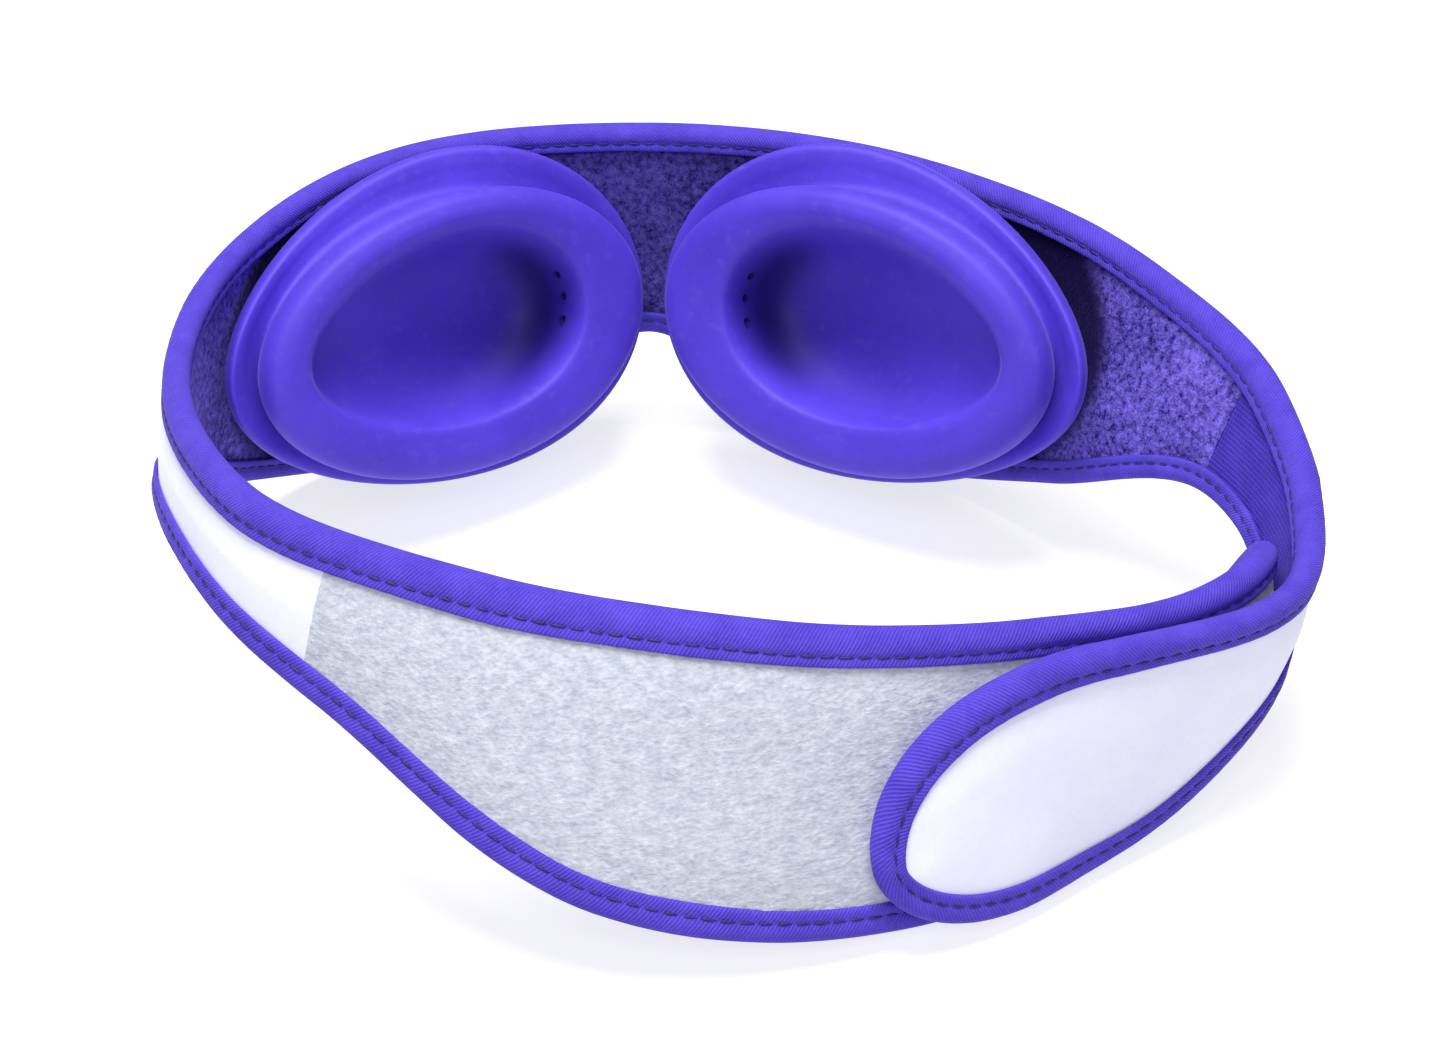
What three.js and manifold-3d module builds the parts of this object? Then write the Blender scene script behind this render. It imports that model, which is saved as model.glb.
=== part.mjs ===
// A strap eye mask with two soft silicone eye cups: a padded band that closes round the head.
// Millimetres and degrees, +Z up. The band stands on its lower edge, +Y is the way the wearer
// faces and +X is the wearer's right. The origin is under the middle of the band's box.
import * as THREE from 'three';
import { mergeVertices } from 'three/addons/utils/BufferGeometryUtils.js';
import Module from 'manifold-3d';

const wasm = await Module();
wasm.setup();

// The closed loop, seen from above, measured along the middle of the band from the nose.
const LOOP_LENGTH = 537.5;
const DRAWN_LENGTH = 537.5;
const LOOP_SHAPE = [
  [0, 80.5], [41, 62.5], [70, 29.5], [83.5, -11], [78, -51.5], [38, -65],
  [-6.5, -70], [-51, -63], [-87, -35.5], [-96, 9], [-82, 52.5], [-45.5, 80],
];

// Height of the band's upper and lower edge and its outward lean, at stations from the nose.
const PROFILE = [
  { at: -385, top: 41.5, bottom: -1, lean: 17 },
  { at: -340, top: 40.5, bottom: -1, lean: -4 },
  { at: -295, top: 43.5, bottom: 2, lean: -27 },
  { at: -250, top: 49, bottom: 11, lean: -36 },
  { at: -205, top: 54.5, bottom: 31.8, lean: -29 },
  { at: -165, top: 56.5, bottom: 38.5, lean: -20 },
  { at: -130, top: 55.5, bottom: 32, lean: -11 },
  { at: -95, top: 57.5, bottom: 10.5, lean: -2.5 },
  { at: -60, top: 60.5, bottom: -1, lean: 6 },
  { at: 0, top: 61.5, bottom: -1, lean: 9.5 },
  { at: 60, top: 60, bottom: -1, lean: 11 },
  { at: 95, top: 57, bottom: 10.5, lean: 15.5 },
  { at: 130, top: 50.5, bottom: 26, lean: 20 },
  { at: 165, top: 40, bottom: 19.5, lean: 17 },
  { at: 200, top: 39.5, bottom: 3, lean: 11 },
  { at: 225, top: 38.5, bottom: 1.5, lean: 6 },
];
const LEAN_HEIGHT = 30;
const NOSE_NOTCH_HEIGHT = 20.5;
const NOSE_NOTCH_WIDTH = 22;

// Where the band's panels meet, measured along the loop from the nose.
const TEMPLE_SEAM = 130;
const LOOP_PANEL_SEAM = 202;
const LEFT_REACH = 385;
const TAB_OVERLAP = 96.5;
const TAB_LENGTH = 74;
const OVERLAP_RAMP = 50;
const LEAN_RAMP = 32;

// Rounded ends: the height of the tip, and how far back each edge starts to curve.
const TAB_TIP = { height: 15, topReach: 42, bottomReach: 27 };
const INNER_TIP = { height: 20, topReach: 24, bottomReach: 24 };

// Layers of the band.
const FACE_THICKNESS = 0.5;
const FOAM_THICKNESS = 1;
const BINDING_THICKNESS = 0.6;
const BINDING_WIDTH = 4.6;
const HOOK_THICKNESS = 1.2;
const HOOK_MARGIN = 1.5;
const HOOK_GAP = 0.4;
const HOOK_START = 14;
const GAP = 0.3;
const TAPE_GAP = 0.4;
const FASTENED_GAP = 0.8;
const STEP = 5;
const TAB_STEP = 2.5;
const TIP_STEPS = 8;

// Eye cups.
const CUPS = [
  { label: 'right', side: 1, station: 56, height: 33 },
  { label: 'left', side: -1, station: -53, height: 31 },
];
const CUP_TILT = 18;
const CUP_STAND_OFF = 10;
const CUP_DEPTH = 22;
const CUP_SIDES = 48;
const FLANGE = { length: 44.5, height: 31, taper: 0.23, thickness: 5, curl: 9.5 };
const NECK = { length: 37, height: 23.8, taper: 0.1 };
const RIM = { length: 40.5, height: 26, taper: 0.05 };
const OPENING = { length: 28, height: 16.6, taper: 0.15, out: 2.6, up: 1.5 };
const BOWL_DEPTH = 15.5;
const BOSS_RADIUS = 13;
const VENT_DIAMETER = 1.4;
const VENT_SPACING = 4.4;
const VENT_DEPTH = 9;

// Round fastening under each cup.
const PAD_RADIUS = 14.5;
const PLATE_RADIUS = 13;
const PAD_THICKNESS = 1.2;
const PLATE_THICKNESS = 1.2;
const PAD_SEAT = 2.5;
const BAND_CURVE_RADIUS = 80;

// Sizes that follow from the ones above.
const STRETCH = LOOP_LENGTH / DRAWN_LENGTH;
const TAB_REACH = LOOP_LENGTH - LEFT_REACH + TAB_OVERLAP;
const TAB_ROOT = TAB_REACH - TAB_LENGTH;
const PANEL_HALF = FOAM_THICKNESS / 2 + GAP + FACE_THICKNESS;
const BAND_HALF = PANEL_HALF + TAPE_GAP + BINDING_THICKNESS;
const PANEL_INSET = BINDING_THICKNESS + 2 * TAPE_GAP;
const OVERLAP_OFFSET = 2 * BAND_HALF + FASTENED_GAP;
const OVERLAP_START = LOOP_LENGTH - LEFT_REACH;

const finishes = {
  white: { color: 0xeceefb, roughness: 0.45, metalness: 0 },
  grey: { color: 0xd0d6e4, roughness: 0.95, metalness: 0 },
  foam: { color: 0x8e8aa6, roughness: 0.9, metalness: 0 },
  fleece: { color: 0x4b35ad, roughness: 0.95, metalness: 0 },
  knit: { color: 0x4431a0, roughness: 0.85, metalness: 0 },
  binding: { color: 0x5f4ce0, roughness: 0.75, metalness: 0 },
  hook: { color: 0x3a2c8c, roughness: 0.8, metalness: 0 },
  silicone: { color: 0x5d49dc, roughness: 0.4, metalness: 0 },
  plate: { color: 0x4a3bb5, roughness: 0.5, metalness: 0 },
};

const loopCurve = makeLoop();
const mask = new THREE.Group();

// Joins the shape points with a smooth closed curve of the wanted length.
function makeLoop() {
  const points = LOOP_SHAPE.map(([x, y]) => new THREE.Vector3(x, y, 0));
  const drawn = new THREE.CatmullRomCurve3(points, true, 'centripetal');
  drawn.arcLengthDivisions = 1200;
  const scale = LOOP_LENGTH / drawn.getLength();
  const scaled = points.map((point) => point.multiplyScalar(scale));
  const loop = new THREE.CatmullRomCurve3(scaled, true, 'centripetal');
  loop.arcLengthDivisions = 1200;
  return loop;
}

// Smooth curve through one column of the profile.
function profileAt(along, column) {
  const at = THREE.MathUtils.clamp(along / STRETCH, PROFILE[0].at, PROFILE.at(-1).at);
  const last = PROFILE.length - 2;
  const index = Math.min(PROFILE.findLastIndex((row) => row.at <= at), last);
  const from = PROFILE[index];
  const to = PROFILE[index + 1];
  const width = to.at - from.at;
  const t = (at - from.at) / width;
  const rise = to[column] - from[column];
  const startSlope = profileSlope(index, column) * width;
  const endSlope = profileSlope(index + 1, column) * width;
  const bend = t * t * (3 - 2 * t);
  return from[column] + rise * bend + t * (1 - t) * ((1 - t) * startSlope - t * endSlope);
}

// Slope of a profile column at one of its stations.
function profileSlope(index, column) {
  const slopeFrom = (row) => (PROFILE[row + 1][column] - PROFILE[row][column])
    / (PROFILE[row + 1].at - PROFILE[row].at);
  if (index === 0) return slopeFrom(0);
  if (index === PROFILE.length - 1) return slopeFrom(index - 1);
  const before = PROFILE[index].at - PROFILE[index - 1].at;
  const after = PROFILE[index + 1].at - PROFILE[index].at;
  return (slopeFrom(index - 1) * after + slopeFrom(index) * before) / (before + after);
}

function topAt(along) {
  return profileAt(along, 'top');
}

// The lower edge arches over the nose and never goes below the surface that the band stands on.
function bottomAt(along) {
  const notch = NOSE_NOTCH_HEIGHT * Math.exp(-((along / NOSE_NOTCH_WIDTH) ** 2));
  return Math.max(0, profileAt(along, 'bottom') + notch);
}

// The right strap takes the lean of the left strap that it lies over.
function leanAt(along) {
  const own = profileAt(along, 'lean');
  const share = THREE.MathUtils.smoothstep(along, OVERLAP_START - LEAN_RAMP, OVERLAP_START);
  const under = profileAt(Math.max(along - LOOP_LENGTH, -LEFT_REACH), 'lean');
  return THREE.MathUtils.degToRad(own * (1 - share) + under * share);
}

// Point of the loop and the outward direction there, seen from above.
function loopAt(along) {
  const share = THREE.MathUtils.euclideanModulo(along / LOOP_LENGTH, 1);
  const point = loopCurve.getPointAt(share);
  const travel = loopCurve.getTangentAt(share);
  return { point, outward: new THREE.Vector3(-travel.y, travel.x, 0) };
}

// Point of the band: station along it, height, and depth outward from its middle.
function bandPoint(along, height, depth) {
  const { point, outward } = loopAt(along);
  const ramp = THREE.MathUtils.smoothstep(along, OVERLAP_START - OVERLAP_RAMP, OVERLAP_START);
  const spread = depth + OVERLAP_OFFSET * ramp + Math.tan(leanAt(along)) * (height - LEAN_HEIGHT);
  return point.clone().addScaledVector(outward, spread).setZ(height);
}

// Direction of the band's upright line at a station.
function uprightAt(along) {
  return bandPoint(along, LEAN_HEIGHT + 1, 0).sub(bandPoint(along, LEAN_HEIGHT, 0)).normalize();
}

// The rounded end that a station belongs to.
function endOf(along) {
  if (along > 0) return { ...TAB_TIP, tip: TAB_REACH, way: 1 };
  return { ...INNER_TIP, tip: -LEFT_REACH, way: -1 };
}

// Height of an edge at a station, moved in from the outline by an inset.
function edgeHeight(along, upper, inset) {
  const end = endOf(along);
  const reach = upper ? end.topReach : end.bottomReach;
  const edge = upper ? topAt : bottomAt;
  const side = upper ? 1 : -1;
  const start = end.tip - end.way * reach;
  const past = (along - start) * end.way;
  if (past <= 0) return edge(along) - side * inset;
  const rise = (edge(start) - end.height) * side - inset;
  const share = Math.min(past / (reach - inset), 1);
  return end.height + side * rise * Math.sqrt(1 - share * share);
}

// Stations from one place to another, on the common grid between the two ends.
function stationsBetween(from, to, step) {
  const stations = [from];
  const first = Math.ceil((from + step / 3) / step) * step;
  for (let at = first; at < to - step / 3; at += step) stations.push(at);
  stations.push(to);
  return stations;
}

// Makes one closed body from rings of points, with the flat ends cut into the given faces.
// Both sides of a layer are split along the same diagonals, so neighbouring layers stay parallel.
function bodyFromRings(rings, endFaces) {
  const count = rings[0].length;
  const positions = rings.flat().flatMap((point) => [point.x, point.y, point.z]);
  const faces = [];
  for (let ring = 0; ring < rings.length - 1; ring += 1) {
    for (let side = 0; side < count; side += 1) {
      const a = ring * count + side;
      const b = ring * count + (side + 1) % count;
      if (side < count / 2) faces.push([a, b, b + count], [a, b + count, a + count]);
      else faces.push([a, b, a + count], [b, b + count, a + count]);
    }
  }
  const lastRing = (rings.length - 1) * count;
  for (const [a, b, c] of endFaces) {
    faces.push([a, c, b], [lastRing + a, lastRing + b, lastRing + c]);
  }
  return closedGeometry(positions, faces);
}

// Turns points and faces into a geometry whose faces point out.
function closedGeometry(positions, faces) {
  const corner = (index) => new THREE.Vector3().fromArray(positions, index * 3);
  const volume = faces.reduce((sum, [a, b, c]) => sum + corner(a).dot(corner(b).cross(corner(c))), 0);
  const outward = volume > 0 ? faces : faces.map(([a, b, c]) => [a, c, b]);
  const geometry = new THREE.BufferGeometry();
  geometry.setAttribute('position', new THREE.Float32BufferAttribute(positions, 3));
  geometry.setIndex(outward.flat());
  geometry.computeVertexNormals();
  return geometry;
}

// A flat layer of the band between two stations and two depths.
function layer(from, to, innerDepth, outerDepth, inset, step = STEP) {
  const corners = [[false, innerDepth], [false, outerDepth], [true, outerDepth], [true, innerDepth]];
  const rings = stationsBetween(from, to, step).map((along) => corners.map(
    ([upper, depth]) => bandPoint(along, edgeHeight(along, upper, inset), depth),
  ));
  return bodyFromRings(rings, [[0, 1, 2], [0, 2, 3]]);
}

// Outline places along one edge, each with the direction into the band.
function edgePath(from, to, upper, step) {
  const down = upper ? -1 : 1;
  return stationsBetween(Math.min(from, to), Math.max(from, to), step)
    .map((along) => ({ along, height: edgeHeight(along, upper, 0), into: [0, down] }));
}

// Outline places round a rounded end, from the upper edge to the lower one.
function tipPath(way) {
  const end = endOf(way);
  const quarter = (upper) => {
    const reach = upper ? end.topReach : end.bottomReach;
    const start = end.tip - end.way * reach;
    const rise = (upper ? topAt(start) : bottomAt(start)) - end.height;
    return Array.from({ length: TIP_STEPS + 1 }, (_, index) => {
      const angle = (index / TIP_STEPS) * Math.PI / 2;
      const into = new THREE.Vector2(-end.way * Math.sin(angle) / reach, -Math.cos(angle) / rise);
      into.normalize();
      return {
        along: start + end.way * reach * Math.sin(angle),
        height: end.height + rise * Math.cos(angle),
        into: into.toArray(),
      };
    });
  };
  return [...quarter(true), ...quarter(false).reverse().slice(1)];
}

// Folded tape along an outline path: a channel that wraps the edge of the panel.
function foldedTape(path) {
  const outer = BAND_HALF;
  const inner = BAND_HALF - BINDING_THICKNESS;
  const section = [
    [-outer, BINDING_WIDTH], [-outer, 0], [outer, 0], [outer, BINDING_WIDTH],
    [inner, BINDING_WIDTH], [inner, BINDING_THICKNESS],
    [-inner, BINDING_THICKNESS], [-inner, BINDING_WIDTH],
  ];
  const rings = path.map(({ along, height, into }) => section.map(
    ([depth, inward]) => bandPoint(along + into[0] * inward, height + into[1] * inward, depth),
  ));
  return bodyFromRings(rings, [[0, 1, 6], [0, 6, 7], [1, 2, 5], [1, 5, 6], [2, 3, 4], [2, 4, 5]]);
}

// Tape that runs out along the upper edge, round the end and back along the lower edge.
function tapeRoundEnd(root, step) {
  const end = endOf(root);
  const out = edgePath(root, end.tip - end.way * end.topReach, true, step);
  const back = edgePath(root, end.tip - end.way * end.bottomReach, false, step);
  if (end.way < 0) out.reverse();
  if (end.way > 0) back.reverse();
  return foldedTape([...out.slice(0, -1), ...tipPath(end.way), ...back.slice(1)]);
}

function addPiece(name, geometry, finish) {
  const piece = new THREE.Mesh(geometry, new THREE.MeshStandardMaterial(finishes[finish]));
  piece.name = name;
  mask.add(piece);
  return piece;
}

// Face, foam and lining of one panel between two stations.
function addPanel(name, from, to, faceFinish, liningFinish, step) {
  const foamHalf = FOAM_THICKNESS / 2;
  addPiece(`${name}_face`, layer(from, to, foamHalf + GAP, PANEL_HALF, PANEL_INSET, step), faceFinish);
  addPiece(`${name}_foam`, layer(from, to, -foamHalf, foamHalf, PANEL_INSET, step), 'foam');
  addPiece(`${name}_lining`, layer(from, to, -PANEL_HALF, -foamHalf - GAP, PANEL_INSET, step), liningFinish);
}

function addFront() {
  const from = -TEMPLE_SEAM;
  const to = TEMPLE_SEAM;
  addPanel('front', from, to, 'white', 'fleece', STEP);
  addPiece('front_upper_binding', foldedTape(edgePath(from, to, true, STEP)), 'binding');
  addPiece('front_lower_binding', foldedTape(edgePath(from, to, false, STEP)), 'binding');
}

function addRightStrap() {
  const from = TEMPLE_SEAM + GAP;
  const to = TAB_ROOT - GAP;
  addPanel('right_strap', from, to, 'white', 'knit', STEP);
  addPiece('right_strap_upper_binding', foldedTape(edgePath(from, to, true, STEP)), 'binding');
  addPiece('right_strap_lower_binding', foldedTape(edgePath(from, to, false, STEP)), 'binding');
}

function addTab() {
  const to = TAB_REACH - PANEL_INSET - GAP;
  addPanel('tab', TAB_ROOT, to, 'white', 'knit', TAB_STEP);
  addPiece('tab_binding', tapeRoundEnd(TAB_ROOT, TAB_STEP), 'binding');
  const hookInset = BINDING_WIDTH + HOOK_MARGIN;
  const hookOut = -PANEL_HALF - HOOK_GAP;
  const hookTo = TAB_REACH - hookInset - GAP;
  const hook = layer(TAB_ROOT + HOOK_START, hookTo, hookOut - HOOK_THICKNESS, hookOut, hookInset, TAB_STEP);
  addPiece('tab_hook_patch', hook, 'hook');
}

function addLeftStrap() {
  const root = -TEMPLE_SEAM - GAP;
  const seam = -LOOP_PANEL_SEAM;
  const tip = -LEFT_REACH + PANEL_INSET + GAP;
  const foamHalf = FOAM_THICKNESS / 2;
  const faceIn = foamHalf + GAP;
  addPiece('left_strap_face', layer(seam, root, faceIn, PANEL_HALF, PANEL_INSET), 'white');
  addPiece('left_strap_loop_panel', layer(tip, seam - GAP, faceIn, PANEL_HALF, PANEL_INSET), 'grey');
  addPiece('left_strap_foam', layer(tip, root, -foamHalf, foamHalf, PANEL_INSET), 'foam');
  addPiece('left_strap_lining', layer(tip, root, -PANEL_HALF, -faceIn, PANEL_INSET), 'knit');
  addPiece('left_strap_binding', tapeRoundEnd(root, STEP), 'binding');
}

// Frame of a cup or its fastening: out along the band, up, and toward the wearer.
function seatFrame(cup, tilt) {
  const { outward } = loopAt(cup.station);
  const along = new THREE.Vector3(outward.y, -outward.x, 0).multiplyScalar(cup.side);
  const angle = THREE.MathUtils.degToRad(tilt);
  const toward = outward.clone().multiplyScalar(-Math.cos(angle)).setZ(Math.sin(angle));
  const up = new THREE.Vector3().crossVectors(toward, along).multiplyScalar(cup.side);
  return { along, up, toward };
}

// Places a local point of the cup: out, up, and toward the wearer.
function cupPlacer(cup) {
  const { along, up, toward } = seatFrame(cup, CUP_TILT);
  const seat = bandPoint(cup.station, cup.height, 0);
  const base = seat.addScaledVector(loopAt(cup.station).outward, -CUP_STAND_OFF);
  return (x, y, z) => base.clone().addScaledVector(along, x).addScaledVector(up, y).addScaledVector(toward, z);
}

// Lean of the band, in degrees, where a cup is fastened.
function seatLean(cup) {
  return THREE.MathUtils.radToDeg(leanAt(cup.station));
}

// Distances toward the wearer of the layers of the fastening, from the middle of the band.
function seatLayers() {
  const pad = PANEL_HALF + PAD_SEAT;
  const plate = pad + PAD_THICKNESS + GAP;
  return { pad, plate, top: plate + PLATE_THICKNESS + GAP };
}

// Egg-shaped ring, small end outward.
function eggRing(size, height, curl) {
  return Array.from({ length: CUP_SIDES }, (_, index) => {
    const angle = (index / CUP_SIDES) * Math.PI * 2;
    const x = size.length * Math.cos(angle) + (size.out ?? 0);
    const y = size.height * Math.sin(angle) * (1 - size.taper * Math.cos(angle)) + (size.up ?? 0);
    return [x, y, height + curl * (x / FLANGE.length) ** 2];
  });
}

// Round ring on the back of the cup, cut along the seat that leans less than the cup.
function bossRing(cup, height, seated) {
  const slope = Math.tan(THREE.MathUtils.degToRad(CUP_TILT - seatLean(cup)));
  return Array.from({ length: CUP_SIDES }, (_, index) => {
    const angle = (index / CUP_SIDES) * Math.PI * 2;
    const y = BOSS_RADIUS * Math.sin(angle);
    return [BOSS_RADIUS * Math.cos(angle), y, seated ? height + slope * y : height];
  });
}

function grown(size, by, extra = {}) {
  return { ...size, length: size.length + by, height: size.height + by, ...extra };
}

// Section of the cup from its back, over the rim and down into the bowl.
function cupRings(cup) {
  const bossBack = seatLayers().top - CUP_STAND_OFF;
  const bowl = { ...OPENING, out: OPENING.out / 2, up: OPENING.up / 2 };
  const { thickness, curl } = FLANGE;
  return [
    bossRing(cup, bossBack, true),
    bossRing(cup, 0, false),
    eggRing(grown(FLANGE, -1), 0.3, curl),
    eggRing(FLANGE, 1.1, curl),
    eggRing(FLANGE, thickness - 0.7, curl),
    eggRing(grown(FLANGE, -1.3), thickness, curl),
    eggRing(NECK, thickness + 1.9, curl * 0.6),
    eggRing(NECK, thickness + 4.6, curl * 0.3),
    eggRing(grown(RIM, -1), CUP_DEPTH - 7, 0),
    eggRing(RIM, CUP_DEPTH - 4.5, 0),
    eggRing(grown(RIM, -0.8), CUP_DEPTH - 1.8, 0),
    eggRing(grown(RIM, -3.6), CUP_DEPTH, 0),
    eggRing(grown(OPENING, 3), CUP_DEPTH - 0.3, 0),
    eggRing(OPENING, CUP_DEPTH - 2.2, 0),
    eggRing(grown(bowl, -1), CUP_DEPTH - BOWL_DEPTH * 0.5, 0),
    eggRing(grown(bowl, -4), CUP_DEPTH - BOWL_DEPTH * 0.85, 0),
    eggRing(grown(bowl, -10), CUP_DEPTH - BOWL_DEPTH, 0),
  ];
}

// Fan of faces over one flat ring.
function ringFan() {
  return Array.from({ length: CUP_SIDES - 2 }, (_, index) => [0, index + 1, index + 2]);
}

function toSolid(geometry) {
  const bare = geometry.clone();
  bare.deleteAttribute('normal');
  bare.deleteAttribute('uv');
  const merged = mergeVertices(bare);
  const mesh = new wasm.Mesh({
    numProp: 3,
    vertProperties: Float32Array.from(merged.attributes.position.array),
    triVerts: Uint32Array.from(merged.index.array),
  });
  return new wasm.Manifold(mesh);
}

function toGeometry(solid) {
  const mesh = solid.getMesh();
  const geometry = new THREE.BufferGeometry();
  geometry.setAttribute('position', new THREE.Float32BufferAttribute(mesh.vertProperties, 3));
  geometry.setIndex(Array.from(mesh.triVerts));
  geometry.computeVertexNormals();
  return geometry;
}

// Small hole from the bowl out to the neck, through the wall on the nose side.
function ventDrill(place, row) {
  const height = row * VENT_SPACING;
  const start = place(-OPENING.length * 0.6, height, CUP_DEPTH - VENT_DEPTH);
  const end = place(-FLANGE.length * 1.2, height, CUP_DEPTH - VENT_DEPTH);
  const drill = new THREE.CylinderGeometry(VENT_DIAMETER / 2, VENT_DIAMETER / 2, start.distanceTo(end), 10);
  const along = end.clone().sub(start).normalize();
  drill.applyQuaternion(new THREE.Quaternion().setFromUnitVectors(new THREE.Vector3(0, 1, 0), along));
  drill.translate(...start.add(end).multiplyScalar(0.5).toArray());
  return drill;
}

// Round disc of the fastening, square on the band.
function seatDisc(cup, radius, thickness, distance) {
  const { toward } = seatFrame(cup, seatLean(cup));
  const centre = seatCentre(cup).addScaledVector(toward, distance + thickness / 2);
  const disc = new THREE.CylinderGeometry(radius, radius, thickness, 32);
  disc.applyQuaternion(new THREE.Quaternion().setFromUnitVectors(new THREE.Vector3(0, 1, 0), toward));
  disc.translate(...centre.toArray());
  return disc;
}

// Point of the band's middle that the cup's fastening sits square on.
function seatCentre(cup) {
  const { toward } = seatFrame(cup, seatLean(cup));
  return cupPlacer(cup)(0, 0, 0).addScaledVector(toward, -CUP_STAND_OFF);
}

function addCup(cup) {
  const place = cupPlacer(cup);
  const rings = cupRings(cup).map((ring) => ring.map(([x, y, z]) => place(x, y, z)));
  let silicone = toSolid(bodyFromRings(rings, ringFan()));
  for (const row of [-1, 0, 1]) silicone = silicone.subtract(toSolid(ventDrill(place, row)));
  addPiece(`${cup.label}_cup`, toGeometry(silicone), 'silicone');
  const { pad, plate } = seatLayers();
  addPiece(`${cup.label}_cup_plate`, seatDisc(cup, PLATE_RADIUS, PLATE_THICKNESS, plate), 'plate');
  addPiece(`${cup.label}_cup_hook_pad`, seatDisc(cup, PAD_RADIUS, PAD_THICKNESS, pad), 'hook');
}

// The lines that the straps, the tab and the cups turn about, on the assembled mask.
function turningLines() {
  const outside = BAND_HALF + GAP / 3;
  const seam = (along) => ({ at: bandPoint(along, LEAN_HEIGHT, outside), axis: uprightAt(along) });
  const lines = {
    right_strap_swing: seam(TEMPLE_SEAM + GAP / 2),
    left_strap_swing: seam(-TEMPLE_SEAM - GAP / 2),
    tab_peel: seam(TAB_ROOT - GAP / 2),
  };
  for (const cup of CUPS) {
    const { toward } = seatFrame(cup, seatLean(cup));
    const centre = seatCentre(cup);
    const curve = centre.clone().addScaledVector(toward, BAND_CURVE_RADIUS);
    lines[`${cup.label}_cup_turn`] = { at: centre, axis: toward };
    lines[`${cup.label}_cup_place`] = { at: curve, axis: uprightAt(cup.station) };
  }
  return lines;
}

addFront();
addRightStrap();
addTab();
addLeftStrap();
CUPS.forEach(addCup);

// The origin goes under the middle of the whole mask.
const box = new THREE.Box3().setFromObject(mask);
const middle = box.getCenter(new THREE.Vector3());
mask.position.set(-middle.x, -middle.y, -box.min.z);
mask.userData.turningLines = turningLines();

export default mask;
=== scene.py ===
"""Strap eye mask with two soft silicone eye cups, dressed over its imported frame.

A padded band closes round the head: white laminated face, fleece and knit lining, folded
twill tape round every edge, a grey loop-pile panel and a rounded tab that grips it. Two egg
shaped silicone cups sit on round hook pads inside the front. Sizes in the classes are in
millimetres, as on a maker's drawing; every mesh is in metres, in the frame's own place.
"""

import logging
import math
from dataclasses import astuple, dataclass, field
from enum import Enum
from typing import Any, Optional, Sequence, Union

import bmesh
import bpy
import numpy as np
from mathutils import Matrix, Vector


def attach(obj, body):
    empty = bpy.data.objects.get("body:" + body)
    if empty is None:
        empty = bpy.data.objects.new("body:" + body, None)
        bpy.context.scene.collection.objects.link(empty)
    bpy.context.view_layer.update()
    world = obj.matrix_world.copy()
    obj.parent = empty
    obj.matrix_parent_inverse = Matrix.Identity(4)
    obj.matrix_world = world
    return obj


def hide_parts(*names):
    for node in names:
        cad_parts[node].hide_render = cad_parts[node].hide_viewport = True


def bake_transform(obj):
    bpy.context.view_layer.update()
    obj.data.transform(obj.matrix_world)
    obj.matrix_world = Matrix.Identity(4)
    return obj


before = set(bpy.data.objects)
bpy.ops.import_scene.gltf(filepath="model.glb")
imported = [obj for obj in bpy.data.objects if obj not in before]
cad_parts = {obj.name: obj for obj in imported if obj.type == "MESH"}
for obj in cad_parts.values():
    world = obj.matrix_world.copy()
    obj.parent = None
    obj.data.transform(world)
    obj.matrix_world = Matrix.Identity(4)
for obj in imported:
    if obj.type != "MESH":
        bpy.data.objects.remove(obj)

MM = 0.001
TURN = 2 * math.pi
# Name of the mesh attribute with the painted light level: 0 takes a material's painted shade
# colour, 1 keeps its own colour.
PAINTED_LIGHT_ATTRIBUTE = "Open"
LOG = logging.getLogger("eye_mask")
Number = Union[float, "Channel"]


# --- Node building -----------------------------------------------------------------


class Channel:
    """One output socket in a node tree, with arithmetic that adds Math nodes."""

    def __init__(self, graph: "Graph", socket: bpy.types.NodeSocket) -> None:
        """Wrap a socket.

        Args:
            graph: The tree that the socket is in.
            socket: The output socket.
        """
        self.graph = graph
        self.socket = socket

    def __add__(self, other: Number) -> "Channel":
        """Sum."""
        return self.graph.math("ADD", self, other)

    def __radd__(self, other: Number) -> "Channel":
        """Sum, with the number first."""
        return self.graph.math("ADD", other, self)

    def __sub__(self, other: Number) -> "Channel":
        """Difference."""
        return self.graph.math("SUBTRACT", self, other)

    def __rsub__(self, other: Number) -> "Channel":
        """Difference, with the number first."""
        return self.graph.math("SUBTRACT", other, self)

    def __mul__(self, other: Number) -> "Channel":
        """Product."""
        return self.graph.math("MULTIPLY", self, other)

    def __rmul__(self, other: Number) -> "Channel":
        """Product, with the number first."""
        return self.graph.math("MULTIPLY", other, self)


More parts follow.
